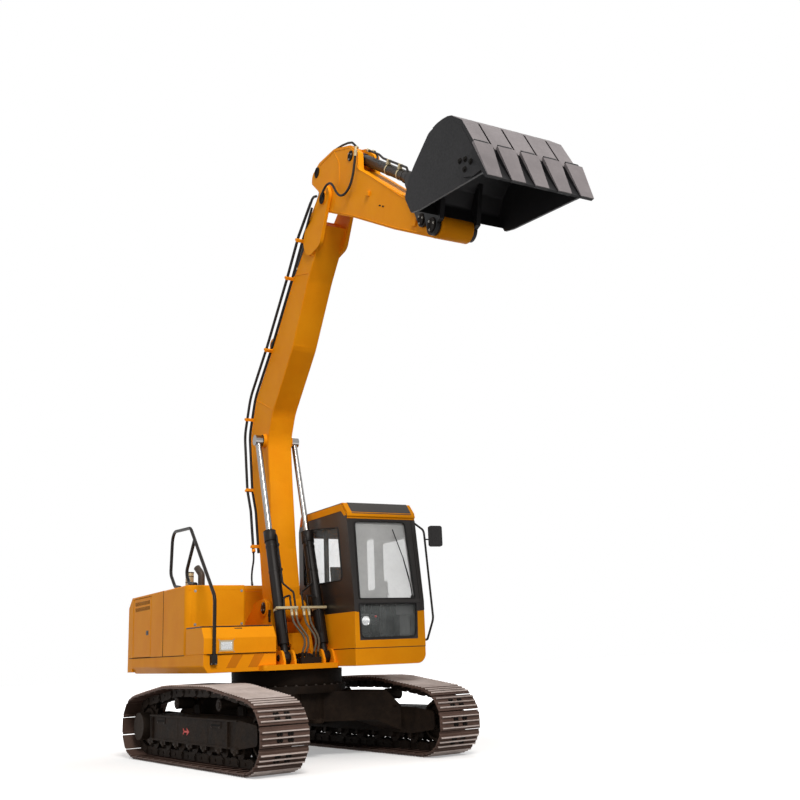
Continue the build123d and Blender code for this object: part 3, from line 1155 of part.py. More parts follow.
# loose end below the outer boom pipe: it leaves along the pipe, then (y, z) steps from there
pipe_end = point_on(FOOT_PIN, BOOM_RISE, (pipe_route[0][0], pipe_route[0][1] + PIPE_LIFT))
pipe_next = point_on(FOOT_PIN, BOOM_RISE, (pipe_route[1][0], pipe_route[1][1] + PIPE_LIFT))
reach = math.dist(pipe_end, pipe_next)
leave = ((pipe_end[0] - pipe_next[0]) / reach, (pipe_end[1] - pipe_next[1]) / reach)
drain = [(PIPE_XS[1], *pipe_end), (PIPE_XS[1], pipe_end[0] + 75 * leave[0], pipe_end[1] + 75 * leave[1])]
for y, z in [(14, -150), (50, -222), (72, -300), (70, -380), (50, -440)]:
    drain.append((PIPE_XS[1], pipe_end[0] + y, pipe_end[1] + z))
free_hose("drain_hose", drain, DRAIN_HOSE_RADIUS)


# ---------------------------------------------------------------- export
def extent(name):
    return Compound(children=list(PARTS[name])).bounding_box()


# the origin lies below the middle between the bucket's lip and the tail
SHIFT_Y = -round((extent("bucket").min.Y + extent("counterweight").max.Y) / 2, -1)

for name, solids in PARTS.items():
    placed = []
    for piece in solids:
        placed += [Pos(0, SHIFT_Y, 0) * s for s in piece.solids()]
    export_step(Compound(children=placed), "parts/" + name + ".step")
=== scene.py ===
import itertools
import json
import random
from math import acos, atan, atan2, copysign, cos, dist, exp, hypot, pi, radians, sin, tan

import bmesh
import bpy
from mathutils import Matrix, Vector


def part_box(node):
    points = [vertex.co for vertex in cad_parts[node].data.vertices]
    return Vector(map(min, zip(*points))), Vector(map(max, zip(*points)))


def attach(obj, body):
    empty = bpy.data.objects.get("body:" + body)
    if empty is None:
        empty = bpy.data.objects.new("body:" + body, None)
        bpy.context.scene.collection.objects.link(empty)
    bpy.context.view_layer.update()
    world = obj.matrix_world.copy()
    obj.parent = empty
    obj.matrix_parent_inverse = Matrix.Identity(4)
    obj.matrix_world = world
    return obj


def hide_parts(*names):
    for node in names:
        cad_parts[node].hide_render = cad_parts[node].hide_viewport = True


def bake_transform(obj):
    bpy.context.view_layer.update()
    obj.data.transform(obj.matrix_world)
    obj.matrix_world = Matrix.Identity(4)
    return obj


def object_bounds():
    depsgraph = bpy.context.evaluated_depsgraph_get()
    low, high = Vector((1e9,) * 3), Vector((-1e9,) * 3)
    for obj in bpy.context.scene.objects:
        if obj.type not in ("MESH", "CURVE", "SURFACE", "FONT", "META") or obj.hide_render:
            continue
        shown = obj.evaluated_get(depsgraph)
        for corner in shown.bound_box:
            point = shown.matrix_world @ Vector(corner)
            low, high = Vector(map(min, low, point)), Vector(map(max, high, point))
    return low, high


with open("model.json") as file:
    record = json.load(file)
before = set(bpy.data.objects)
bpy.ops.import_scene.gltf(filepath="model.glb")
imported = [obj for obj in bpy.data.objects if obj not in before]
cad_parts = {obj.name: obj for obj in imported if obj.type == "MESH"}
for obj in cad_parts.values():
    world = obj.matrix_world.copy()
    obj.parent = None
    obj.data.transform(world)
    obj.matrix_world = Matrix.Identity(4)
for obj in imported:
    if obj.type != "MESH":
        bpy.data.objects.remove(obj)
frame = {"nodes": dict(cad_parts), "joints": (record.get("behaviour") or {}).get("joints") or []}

cad_box = [list(c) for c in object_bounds()]
random.seed(7)

# ---------------------------------------------------------------- places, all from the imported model
JOINTS = {j["name"]: j for j in frame["joints"]}


def joint_at(name):
    return Vector(JOINTS[name]["pos_m"])


SWING_Y = joint_at("swing").y


class Link:
    """A link's own axes: u along it from its pin, v above it, x across the machine."""

    def __init__(self, pin, toward=None, rise=None):
        self.pin = Vector((0, pin.y, pin.z))
        if toward is not None:
            self.u = Vector((0, toward.y - pin.y, toward.z - pin.z)).normalized()
        else:
            e = radians(rise)
            self.u = Vector((0, -cos(e), sin(e)))
        self.v = Vector((0, self.u.z, -self.u.y))
        if self.v.z < 0 and rise is None:
            self.v = -self.v

    def at(self, x, u, v):
        """Point from millimetres in the link's own axes."""
        return self.pin + self.u * (u / 1000) + self.v * (v / 1000) + Vector((x / 1000, 0, 0))

    def matrix(self):
        return Matrix((
            (1, self.u.x, self.v.x, self.pin.x),
            (0, self.u.y, self.v.y, self.pin.y),
            (0, self.u.z, self.v.z, self.pin.z),
            (0, 0, 0, 1)))


BOOM = Link(joint_at("boom_pivot"), joint_at("arm_pivot"))
ARM = Link(joint_at("arm_pivot"), joint_at("bucket_pivot"))
BUCKET = Link(joint_at("bucket_pivot"), rise=-5.9)
idler_r, idler_l = (sum(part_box(node), Vector()) / 2 for node in ("idler_right", "idler_left"))
TURN = atan2(idler_l.y - idler_r.y, idler_l.x - idler_r.x)
HOUSE = Matrix.Translation((0, SWING_Y, 0))
UNDER = HOUSE @ Matrix.Rotation(TURN, 4, "Z")
MM = Matrix.Scale(0.001, 4)
UP, AHEAD, ASTERN = (0, 0, 1), (0, -1, 0), (0, 1, 0)  # in a link's own axes ASTERN points along it
# axes in which the pieces of a body are drawn, where they aren't the house's
PLACES = {"undercarriage": UNDER, "boom": BOOM.matrix(), "arm": ARM.matrix(), "bucket": BUCKET.matrix()}


def spin(degrees, axis):
    return Matrix.Rotation(radians(degrees), 3, axis)


def add_object(name, data):
    obj = bpy.data.objects.new(name, data)
    bpy.context.scene.collection.objects.link(obj)
    return obj


# ---------------------------------------------------------------- materials
def add_node(nt, kind):
    return nt.nodes.new("ShaderNode" + kind)


def new_material(name):
    """Material, its tree, its shader and the object's own coordinates."""
    mat = bpy.data.materials.new(name)
    mat.use_nodes = True
    nt = mat.node_tree
    return mat, nt, nt.nodes["Principled BSDF"], add_node(nt, "TexCoord").outputs["Object"]


def feed(nt, socket, value):
    """Number, colour or other node's output into a socket."""
    if isinstance(value, (int, float)):
        socket.default_value = value
    elif isinstance(value, (tuple, list)):
        socket.default_value = (*value, 1)
    else:
        nt.links.new(value, socket)


def two_tones(nt, factor, stops):
    ramp = add_node(nt, "ValToRGB")
    for element, (place, colour) in zip(ramp.color_ramp.elements, stops):
        element.position = place
        element.color = (*colour, 1)
    nt.links.new(factor, ramp.inputs["Fac"])
    return ramp.outputs["Color"]


def noise(nt, coords, scale, detail, rough):
    node = add_node(nt, "TexNoise")
    for name, value in (("Scale", scale), ("Detail", detail), ("Roughness", rough), ("Vector", coords)):
        feed(nt, node.inputs[name], value)
    return node.outputs["Fac"]


def mix_colour(nt, factor, a, b):
    node = add_node(nt, "Mix")
    node.data_type = "RGBA"
    for index, value in ((0, factor), (6, a), (7, b)):
        feed(nt, node.inputs[index], value)
    return node.outputs[2]


def map_range(nt, value, a, b, c, d):
    node = add_node(nt, "MapRange")
    for name, number in (("Value", value), ("From Min", a), ("From Max", b), ("To Min", c), ("To Max", d)):
        feed(nt, node.inputs[name], number)
    return node.outputs["Result"]


def maths(nt, kind, a, b):
    node = add_node(nt, "Math")
    node.operation = kind
    feed(nt, node.inputs[0], a)
    feed(nt, node.inputs[1], b)
    return node.outputs[0]


def height(nt, kind):
    """Z of the shading point's position or normal."""
    split = add_node(nt, "SeparateXYZ")
    nt.links.new(add_node(nt, "NewGeometry").outputs[kind], split.inputs[0])
    return split.outputs["Z"]


def surface(name, base, shade, rough=(0.3, 0.5), metal=0.0, coat=0.0, grain=60.0, bump=0.1, depth=0.001,
            dust=(0.45, 0.36, 0.25), dusty=0.0, low_dust=0.0, wear=None, worn=0.0, sheen=0.0, gloss=0.35):
    """Procedural finish: mottled colour, dust that gathers on top and near the ground, worn patches, fine bump."""
    mat, nt, bsdf, coords = new_material(name)
    fine = noise(nt, coords, grain, 8, 0.65)
    colour = two_tones(nt, noise(nt, coords, 1.7, 5, 0.6), [(0.30, shade), (0.62, base)])
    speck = map_range(nt, fine, 0.35, 0.75, 0.0, 0.22)
    colour = mix_colour(nt, speck, colour, tuple(0.72 * c for c in base))
    roughness = map_range(nt, fine, 0.3, 0.7, *rough)
    film = None
    if dusty:
        up = map_range(nt, height(nt, "Normal"), 0.1, 1.0, 0.0, dusty)
        cloud = noise(nt, coords, 4.5, 9, 0.7)
        film = maths(nt, "MULTIPLY", up, map_range(nt, cloud, 0.35, 0.7, 0.1, 1.0))
    if low_dust:
        near = map_range(nt, height(nt, "Position"), 0.05, 1.25, low_dust, 0.0)
        mud = noise(nt, coords, 7.0, 10, 0.72)
        low = maths(nt, "MULTIPLY", near, map_range(nt, mud, 0.38, 0.66, 0.0, 1.0))
        film = low if film is None else maths(nt, "MAXIMUM", film, low)
    if film is not None:
        colour = mix_colour(nt, film, colour, dust)
        roughness = maths(nt, "ADD", roughness, maths(nt, "MULTIPLY", film, 0.35))
    if wear is not None:
        rubbed = map_range(nt, noise(nt, coords, 9.0, 10, 0.75), 0.56, 0.74, 0.0, worn * 0.4)
        colour = mix_colour(nt, rubbed, colour, wear)
    dents = add_node(nt, "Bump")
    for node, name, value in (
            (dents, "Strength", bump), (dents, "Distance", depth), (dents, "Height", fine),
            (bsdf, "Normal", dents.outputs["Normal"]), (bsdf, "Base Color", colour), (bsdf, "Roughness", roughness),
            (bsdf, "Metallic", metal), (bsdf, "Specular IOR Level", gloss), (bsdf, "Sheen Weight", sheen),
            (bsdf, "Coat Weight", coat), (bsdf, "Coat Roughness", 0.12)):
        feed(nt, node.inputs[name], value)
    return mat


def glazing(name, tint, rough=0.02, clear=0.72):
    """Window glass: mostly see-through, with reflections and a faint film of dust."""
    mat, nt, bsdf, coords = new_material(name)
    smear = noise(nt, coords, 3.0, 8, 0.7)
    for name, value in (
            ("Base Color", mix_colour(nt, smear, tint, tuple(min(1, c * 1.15) for c in tint))),
            ("Roughness", map_range(nt, smear, 0.3, 0.8, rough, rough + 0.08)),
            ("Alpha", map_range(nt, smear, 0.35, 0.8, 1 - clear - 0.05, 1 - clear + 0.05)),
            ("Specular IOR Level", 0.35)):
        feed(nt, bsdf.inputs[name], value)
    return mat


ORANGE = (0.93, 0.338, 0.006)
ORANGE_DEEP = (0.87, 0.286, 0.004)
M = {
    "yellow": surface("yellow_enamel", ORANGE, ORANGE_DEEP, (0.42, 0.55), grain=90, bump=0.05,
                      dust=(0.62, 0.26, 0.04), dusty=0.04, gloss=0.05),
    "yellow_low": surface("yellow_enamel_dusty", ORANGE, ORANGE_DEEP, (0.45, 0.6), grain=90, bump=0.06,
                          dust=(0.48, 0.23, 0.03), dusty=0.08, low_dust=0.08, gloss=0.05),
    # painted shade: darker yellow for the slanted shadow patches on the front of the platform
    "shade": surface("yellow_painted_shade", (0.66, 0.205, 0.004), (0.58, 0.17, 0.003), (0.5, 0.65), grain=90, bump=0.06,
                     gloss=0.12),
    "black": surface("black_enamel", (0.011, 0.0085, 0.0075), (0.007, 0.0055, 0.005), (0.34, 0.55),
                     grain=120, bump=0.06, dust=(0.07, 0.052, 0.04), dusty=0.14, gloss=0.2),
    "under": surface("undercarriage_black", (0.0115, 0.0075, 0.0055), (0.006, 0.004, 0.003), (0.5, 0.75), grain=45,
                     bump=0.2, dust=(0.085, 0.055, 0.036), dusty=0.3, low_dust=0.3, gloss=0.06),
    "shoe": surface("track_shoe_steel", (0.112, 0.066, 0.052), (0.058, 0.034, 0.026), (0.45, 0.7), metal=0.2,
                    grain=30, bump=0.3, depth=0.003, dust=(0.10, 0.07, 0.052), low_dust=0.3, gloss=0.2),
    "ridge": surface("worn_shoe_edge", (0.66, 0.57, 0.53), (0.44, 0.355, 0.315), (0.38, 0.58), metal=0.3,
                     grain=26, bump=0.2, dust=(0.12, 0.078, 0.064), dusty=0.95, low_dust=0.3, gloss=0.3),
    "cast": surface("cast_steel", (0.024, 0.0165, 0.012), (0.012, 0.008, 0.006), (0.5, 0.8), metal=0.2, grain=55,
                    bump=0.3, depth=0.002, dust=(0.055, 0.037, 0.026), low_dust=0.3, gloss=0.1),
    "bucket": surface("bucket_grey", (0.0165, 0.0160, 0.0172), (0.010, 0.010, 0.011), (0.42, 0.6), grain=40,
                      bump=0.1, dust=(0.05, 0.046, 0.044), dusty=0.08, gloss=0.12),
    "strap": surface("wear_strap_grey", (0.205, 0.185, 0.190), (0.140, 0.126, 0.130), (0.45, 0.62), metal=0.1,
                     grain=40, bump=0.12, wear=(0.34, 0.30, 0.30), worn=0.5, gloss=0.25),
    "chrome": surface("hard_chrome", (0.30, 0.29, 0.285), (0.23, 0.222, 0.215), (0.16, 0.26), metal=1.0, grain=200,
                      bump=0.02),
    "steel": surface("plated_steel", (0.36, 0.34, 0.31), (0.24, 0.225, 0.20), (0.35, 0.55), metal=0.8, grain=120,
                     bump=0.08),
    "bolt": surface("oiled_steel", (0.055, 0.045, 0.038), (0.03, 0.024, 0.02), (0.4, 0.6), metal=0.5, grain=120,
                    bump=0.08, gloss=0.25),
    "rubber": surface("hose_rubber", (0.016, 0.0145, 0.014), (0.010, 0.0095, 0.009), (0.55, 0.8), grain=300, bump=0.3,
                      dust=(0.08, 0.065, 0.055), dusty=0.2, gloss=0.22),
    "seal": surface("window_rubber", (0.013, 0.012, 0.012), (0.009, 0.008, 0.008), (0.5, 0.7), grain=250, bump=0.2,
                    gloss=0.2),
    "plastic": surface("moulded_plastic", (0.030, 0.028, 0.028), (0.018, 0.017, 0.017), (0.45, 0.65), grain=420,
                       bump=0.35, dust=(0.12, 0.1, 0.085), dusty=0.1, gloss=0.25),
    "liner": surface("cab_lining", (0.050, 0.045, 0.041), (0.034, 0.030, 0.027), (0.6, 0.8), grain=380, bump=0.3,
                     gloss=0.2),
    "cab_black": surface("cab_black_enamel", (0.017, 0.0132, 0.0115), (0.011, 0.0085, 0.0075), (0.3, 0.48), coat=0.05,
                         grain=110, bump=0.05, dust=(0.12, 0.09, 0.065), dusty=0.1, gloss=0.28),
    "orange_lamp": surface("orange_lens", (0.85, 0.22, 0.02), (0.75, 0.17, 0.01), (0.1, 0.2), coat=0.6, grain=150,
                           bump=0.15),
    "brown": surface("roof_grey", (0.052, 0.047, 0.043), (0.036, 0.032, 0.029), (0.4, 0.6), coat=0.05, grain=80,
                     bump=0.08, dust=(0.16, 0.13, 0.10), dusty=0.12, gloss=0.3),
    "tread": surface("tread_plate", (0.030, 0.026, 0.024), (0.018, 0.0155, 0.014), (0.4, 0.6), metal=0.3, grain=60,
                     bump=0.15, dust=(0.14, 0.1, 0.075), dusty=0.25, wear=(0.25, 0.22, 0.2), worn=0.5, gloss=0.25),
    "fabric": surface("seat_cloth", (0.030, 0.031, 0.036), (0.018, 0.018, 0.022), (0.8, 0.95), grain=650, bump=0.7,
                      sheen=0.35),
    "clamp": surface("orange_clamp", ORANGE, ORANGE_DEEP, (0.4, 0.55), grain=90, bump=0.06, gloss=0.18),
    "cream": surface("zinc_yellow_clamp", (0.56, 0.47, 0.29), (0.42, 0.34, 0.19), (0.4, 0.55), metal=0.25, grain=90,
                     bump=0.08, gloss=0.3),
    "sleeve": surface("hose_sleeve", (0.125, 0.103, 0.070), (0.070, 0.057, 0.038), (0.55, 0.75), grain=240, bump=0.4,
                      gloss=0.3),
    "pipe": surface("exhaust_steel", (0.085, 0.065, 0.050), (0.040, 0.030, 0.023), (0.45, 0.65), metal=0.4, grain=60,
                    bump=0.15, gloss=0.3),
    "red": surface("red_paint", (0.62, 0.022, 0.010), (0.50, 0.016, 0.008), (0.4, 0.6), coat=0.1, grain=90,
                   bump=0.06),
    "reflector": surface("lamp_reflector", (0.72, 0.72, 0.72), (0.60, 0.60, 0.60), (0.12, 0.2), metal=1.0,
                         grain=100, bump=0.03),
    "mirror": surface("mirror_face", (0.88, 0.90, 0.92), (0.84, 0.86, 0.88), (0.01, 0.03), metal=1.0, grain=40,
                      bump=0.0),
    "dark": surface("dark_opening", (0.008, 0.007, 0.006), (0.005, 0.0045, 0.004), (0.8, 0.95), grain=80, bump=0.1,
                    gloss=0.1),
    "glass": glazing("cab_glazing", (0.62, 0.67, 0.67), clear=0.90),
    "screen_glass": glazing("windscreen_glazing", (0.90, 0.93, 0.93), 0.05, 0.60),
    "screen": surface("display_glass", (0.02, 0.03, 0.035), (0.015, 0.02, 0.025), (0.05, 0.1), coat=0.8, grain=60,
                      bump=0.01),
}


# ---------------------------------------------------------------- pieces
def sharpen(bm, degrees):
    """Smooth shading that breaks at edges steeper than an angle."""
    limit = radians(degrees)
    for face in bm.faces:
        face.smooth = True
    for edge in bm.edges:
        edge.smooth = len(edge.link_faces) == 2 and edge.calc_face_angle(0) < limit


def across(axis):
    """Two unit vectors across an axis."""
    side = axis.orthogonal().normalized()
    return side, axis.cross(side)


def circle(at, sides, r, n):
    """n points round a centre, in the plane of two unit vectors."""
    side, other = sides
    return [at + (side * cos(2 * pi * k / n) + other * sin(2 * pi * k / n)) * r for k in range(n)]


def closed_faces(n):
    """Faces of a form that has an outline of n points at either end."""
    ends = [tuple(range(n))[::-1], tuple(range(n, 2 * n))]
    return ends + [(i, (i + 1) % n, n + (i + 1) % n, n + i) for i in range(n)]


# the usual slot of each finish
SLOTS = {finish: slot for slot, finishes in {
    "track_steel": "shoe ridge",
    "black_paint": "dark under red black rubber brown cab_black liner",
    "dark_steel": "cast bolt steel pipe cream",
    "yellow_paint": "yellow shade orange_lamp yellow_low clamp",
    "black_plastic": "reflector seal plastic tread screen mirror",
    "glass": "glass",
    "bucket_paint": "strap bucket",
}.items() for finish in finishes.split()}


class Kit:
    """One piece made of simple forms, in millimetres, which then rides on a body."""

    def __init__(self, name, material, body="house", place=None, slot=None):
        self.name, self.body, self.material = name, body, material
        self.slot = slot or SLOTS[material]
        self.place = place or PLACES.get(body, HOUSE)
        self.bm = bmesh.new()

    def mesh(self, points, faces):
        verts = [self.bm.verts.new(p) for p in points]
        for face in faces:
            self.bm.faces.new([verts[i] for i in face])

    def block(self, x0, x1, y0, y1, z0, z1, turn=None, about=None):
        """Box, each pair of limits in any order; turn is a matrix applied about its middle or the point given."""
        spans = [sorted(pair) for pair in ((x0, x1), (y0, y1), (z0, z1))]
        points = [Vector(p) for p in itertools.product(*spans)]
        if turn is not None:
            c = Vector(about or [sum(pair) / 2 for pair in spans])
            points = [c + turn @ (p - c) for p in points]
        self.mesh(points, [(0, 1, 3, 2), (4, 6, 7, 5), (0, 4, 5, 1), (2, 3, 7, 6), (0, 2, 6, 4), (1, 5, 7, 3)])

    def prism(self, outline, axis, a, b):
        """Closed outline in the plane across axis 0, 1 or 2, between two places along it."""
        points = [(*p[:axis], d, *p[axis:]) for d in sorted((a, b)) for p in outline]
        self.mesh(points, closed_faces(len(outline)))

    def rod(self, a, b, r, n=20, r2=None):
        """Round bar or cone from a to b."""
        a, b = Vector(a), Vector(b)
        sides = across((b - a).normalized())
        self.mesh(circle(a, sides, r, n) + circle(b, sides, r if r2 is None else r2, n), closed_faces(n))

    def skin(self, rings):
        """Faces between rings of equal counts; a ring of one point closes the form."""
        rings = [[self.bm.verts.new(p) for p in ring] for ring in rings]
        for r0, r1 in zip(rings, rings[1:]):
            n = max(len(r0), len(r1))
            for i in range(n if n > 1 else 0):
                j = (i + 1) % n
                corners = [r0[i % len(r0)], r0[j % len(r0)], r1[j % len(r1)], r1[i % len(r1)]]
                self.bm.faces.new(list(dict.fromkeys(corners)))
        return rings

    def lathe(self, at, axis, profile, n=32):
        """Turned form: profile is (distance along axis, radius) pairs; a radius of 0 closes it."""
        at, along = Vector(at), Vector(axis).normalized()
        sides = across(along)
        self.skin([circle(at + along * d, sides, r, n if r > 0 else 1) for d, r in profile])

    def bolt(self, at, axis, r=12.0, h=9.0):
        """Hexagon head on a washer."""
        at, along = Vector(at), Vector(axis).normalized()
        self.rod(at - along * 1, at + along * (h * 0.25), r * 1.35, 16)
        self.rod(at + along * (h * 0.2), at + along * h, r, 6, r * 0.96)

    def bolt_ring(self, at, radius, count, axis, r, h, first=0.0):
        """Bolts evenly round a point, in the plane across x."""
        for k in range(count):
            t = first + 2 * pi * k / count
            self.bolt((at[0], at[1] + radius * cos(t), at[2] + radius * sin(t)), axis, r, h)

    def tube(self, points, r, n=12, bend=None, steps=5):
        """Tube along straight runs with rounded corners."""
        path = [Vector(p) for p in points]
        if bend != 0:
            path = rounded(path, bend or r * 4, steps)
        rings, side = [], None
        for i, p in enumerate(path):
            ahead = (path[min(i + 1, len(path) - 1)] - path[max(i - 1, 0)]).normalized()
            if side is None:
                side = ahead.orthogonal().normalized()
            side = (side - ahead * side.dot(ahead)).normalized()
            rings.append(circle(p, (side, ahead.cross(side)), r, n))
        rings = self.skin(rings)
        self.bm.faces.new(rings[0][::-1])
        self.bm.faces.new(rings[-1])

    def mesh_object(self, bevel=0.0, segments=2, angle=38):
        """The forms as one object that rides on nothing yet."""
        bmesh.ops.recalc_face_normals(self.bm, faces=self.bm.faces)
        self.bm.transform(self.place @ MM)
        sharpen(self.bm, angle)
        data = bpy.data.meshes.new(self.name)
        self.bm.to_mesh(data)
        self.bm.free()
        if self.place.determinant() < 0:
            data.flip_normals()
        data.materials.append(M[self.material])
        obj = add_object(self.name, data)
        if bevel:
            soften(obj, bevel, segments, angle)
        return obj

    def done(self, bevel=0.0, segments=2, angle=38, replaces=()):
        obj = self.mesh_object(bevel, segments, angle)
        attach(obj, self.body)
        if replaces:
            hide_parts(*replaces)
        return obj


def corner_arc(a, b, c, bend, steps=5, limit=None):
    """Points of the arc that rounds the corner b between a and c; b alone where the line is nearly straight."""
    d0, d1 = (a - b).normalized(), (c - b).normalized()
    half = acos(max(-1, min(1, d0.dot(d1)))) / 2
    if limit and half > pi / 2 - 0.01:
        return [b]
    reach = bend / tan(half)
    if limit:
        reach = min(reach, (a - b).length * limit, (c - b).length * limit)
    p0, p2 = b + d0 * reach, b + d1 * reach
    return [p0 * (1 - t) ** 2 + b * 2 * t * (1 - t) + p2 * t * t for t in (k / steps for k in range(steps + 1))]


def rounded(points, bend, steps):
    """Polyline with its corners turned into arcs of points."""
    path = [points[0]]
    for a, b, c in zip(points, points[1:], points[2:]):
        path += corner_arc(a, b, c, bend, steps, 0.48)
    return path + [points[-1]]


def soften(obj, width, segments, angle):
    """Rounded edges, width in metres."""
    bevel = obj.modifiers.new("edge", "BEVEL")
    bevel.width = width
    bevel.segments = segments
    bevel.limit_method = "ANGLE"
    bevel.angle_limit = radians(angle)
    bevel.harden_normals = True


def dress(nodes, material, width=0.004, zones=None):
    """Finish for CAD nodes: materials, and softly rounded edges."""
    for node in nodes.split():
        dress_one(frame["nodes"][node], material, width, zones)


def dress_one(obj, material, width, zones):
    data = obj.data
    data.materials.clear()
    data.materials.append(M[material])
    if zones:
        names = [material]
        for face in data.polygons:
            name = zones(face.center, face.normal) or material
            if name not in names:
                names.append(name)
                data.materials.append(M[name])
            face.material_index = names.index(name)
    if width:
        weld = obj.modifiers.new("weld", "WELD")
        weld.merge_threshold = 0.00005
        flat = obj.modifiers.new("flat", "DECIMATE")
        flat.decimate_type = "DISSOLVE"
        flat.angle_limit = radians(0.5)
        flat.delimit = {"MATERIAL"}
        soften(obj, width, 2, 30)


# ---------------------------------------------------------------- camera
PHOTO_WIDTH, FOCAL_LENGTH = 800, 1004.9  # pixels
camera_data = bpy.data.cameras.new("camera")
camera_data.sensor_width = 36
camera_data.lens = FOCAL_LENGTH / PHOTO_WIDTH * camera_data.sensor_width
camera_data.clip_end = 300
camera = add_object("camera", camera_data)
# place and directions solved from points of the photo
place = Vector((-5.324, -12.701 + SWING_Y, 1.245))
right = Vector((0.8741, -0.4841, -0.0389)).normalized()
up = Vector((-0.0848, -0.2310, 0.9692))
up = (up - right * up.dot(right)).normalized()
back = right.cross(up)
camera.matrix_world = Matrix.Translation(place) @ Matrix((right, up, back)).transposed().to_4x4()
bpy.context.scene.camera = camera


# ---------------------------------------------------------------- hoses, along their routes
LIFT_HOSE = ((-536.5, 1750), (-561, 1668.5), (-604, 1581), (-650, 1480), (-680, 1380), (-671, 1300), (-671, 1229))


def lift_hose(side, length, *xs):
    """Hose from a lift cylinder's pipes to the manifold; the four differ in their places across the machine."""
    route = [(x, *place) for x, place in zip(xs, LIFT_HOSE)]
    return f"boom_cylinder_{side}_tube", "object", "sleeve", 0.028, length, route


# name: body, far end, finish, diameter and real length in metres, route in millimetres of the machine
HOSES = {
    "lift_hose_1": lift_hose("right", 0.5763, -142, -142, -91, -27, -32, -66, -66),
    "lift_hose_2": lift_hose("right", 0.5710, -82, -82, -37, 21, 17, -14, -14),
    "lift_hose_3": lift_hose("left", 0.5687, 28, 28, 71, 126, 121, 92, 92),
    "lift_hose_4": lift_hose("left", 0.5584, 98, 98, 128, 167, 164, 143, 143),
    "arm_hose": ("arm", "object", "rubber", 0.030, 1.3145, [
        (-185, -2766, 7145), (-190, -2742, 7021), (-198, -2710, 6896), (-208, -2645, 6783), (-220, -2532, 6728),
        (-232, -2412, 6749), (-240, -2321, 6844), (-242, -2252, 6957), (-242, -2167, 7040), (-242, -2049, 7065),
        (-242, -1940, 7022), (-242, -1885, 6962)]),
    "drain_hose": ("boom", "fitting", "rubber", 0.026, 0.4563, [
        (-245, 562, 2658), (-245, 550, 2584), (-245, 576, 2508), (-245, 612, 2436), (-245, 634, 2358),
        (-245, 632, 2278), (-245, 612, 2218)]),
}


def smooth_line(name, points):
    """Curve whose control points are the route's."""
    data = bpy.data.curves.new(name, "CURVE")
    data.dimensions = "3D"
    spline = data.splines.new("NURBS")
    spline.points.add(len(points) - 1)
    for point, place in zip(spline.points, points):
        point.co = (*place, 1)
    spline.order_u = 3
    spline.use_endpoint_u = True
    spline.resolution_u = 16
    data.resolution_u = 16
    return add_object(name, data)


def line_points(curve):
    """Points read from a curve that has no thickness."""
    bpy.context.view_layer.update()
    mesh = bpy.data.meshes.new_from_object(curve.evaluated_get(bpy.context.evaluated_depsgraph_get()))
    points = [v.co.copy() for v in mesh.vertices]
    bpy.data.meshes.remove(mesh)
    return points


def on_machine(route):
    """Route in metres of the shared frame."""
    return [HOUSE @ Vector([c / 1000 for c in p]) for p in route]


drain_end = on_machine(HOSES["drain_hose"][-1][-2:])
fitting = Kit("drain_fitting", "brown", "boom", Matrix.Identity(4), "dark_steel")
run = (drain_end[1] - drain_end[0]).normalized()
tip = drain_end[1] * 1000
fitting.rod(tip - run * 46, tip - run * 2, 15.5, 20)
fitting.rod(tip - run * 16, tip - run * 2, 17.5, 6)
fitting = fitting.done(0.001)

for name, (body, far_end, finish, diameter, length, route) in HOSES.items():
    curve = smooth_line(name + "_line", on_machine(route))
    path = line_points(curve)
    bpy.data.objects.remove(curve)
    cover = Kit(name + "_cover", finish, body, Matrix.Identity(4), "hose_rubber")
    cover.tube([p * 1000 for p in path], diameter / 2 * 1000, 14, 0)
    hose = cover.mesh_object()
    if name.startswith("lift"):
        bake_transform(hose)
    else:
        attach(hose, body)
    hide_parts(name)


# ---------------------------------------------------------------- tracks
GAUGE = (idler_l - idler_r).length * 1000
WHEEL_BASE = 3340.0
IDLER_Y = -1750.0
DRIVE_Y = IDLER_Y + WHEEL_BASE
WHEEL_Z = idler_r.z * 1000
WRAP, LIFT = 314.0, 761.0  # radius of the chain's pins round the wheels, height of the upper run over the lower
LOW_Z = WHEEL_Z - WRAP
CARRIERS, CARRIER_Z, ROLLERS = (-700.0, 550.0), LOW_Z + LIFT - 138, 7
PITCH, SHOE_RISE, GROUSER, SHOE_HALF = 197.0, 70.0, 26.0, 300.0


def chain_pins():
    """Chain pins round the loop, (y, z) in millimetres, evenly spaced."""
    top = LOW_Z + LIFT

    def leave(wheel_y, carrier_y):
        """Angle at which the chain leaves a wheel for a carrier roller."""
        dy, dz = carrier_y - wheel_y, top - WHEEL_Z
        turn = acos(WRAP / hypot(dy, dz))
        return atan2(dz, dy) + (turn if dy > 0 else -turn)

    def arc(wheel_y, a0, a1, n=60):
        return [(wheel_y + WRAP * cos(a0 + (a1 - a0) * i / n), WHEEL_Z + WRAP * sin(a0 + (a1 - a0) * i / n))
                for i in range(n + 1)]

    rear, front = leave(DRIVE_Y, CARRIERS[1]), leave(IDLER_Y, CARRIERS[0])
    line = [(IDLER_Y, LOW_Z)] + arc(DRIVE_Y, -pi / 2, rear) + [(CARRIERS[1], top), (CARRIERS[0], top)]
    line += arc(IDLER_Y, front, 1.5 * pi)
    steps = [dist(a, b) for a, b in zip(line, line[1:])]
    total = sum(steps)
    count = round(total / PITCH)
    pins, i, gone = [], 0, 0.0
    for k in range(count):
        want = total * k / count
        while gone + steps[i] < want:
            gone += steps[i]
            i += 1
        t = (want - gone) / steps[i]
        a, b = line[i], line[i + 1]
        pins.append((a[0] + (b[0] - a[0]) * t, a[1] + (b[1] - a[1]) * t))
    return pins


PINS = chain_pins()


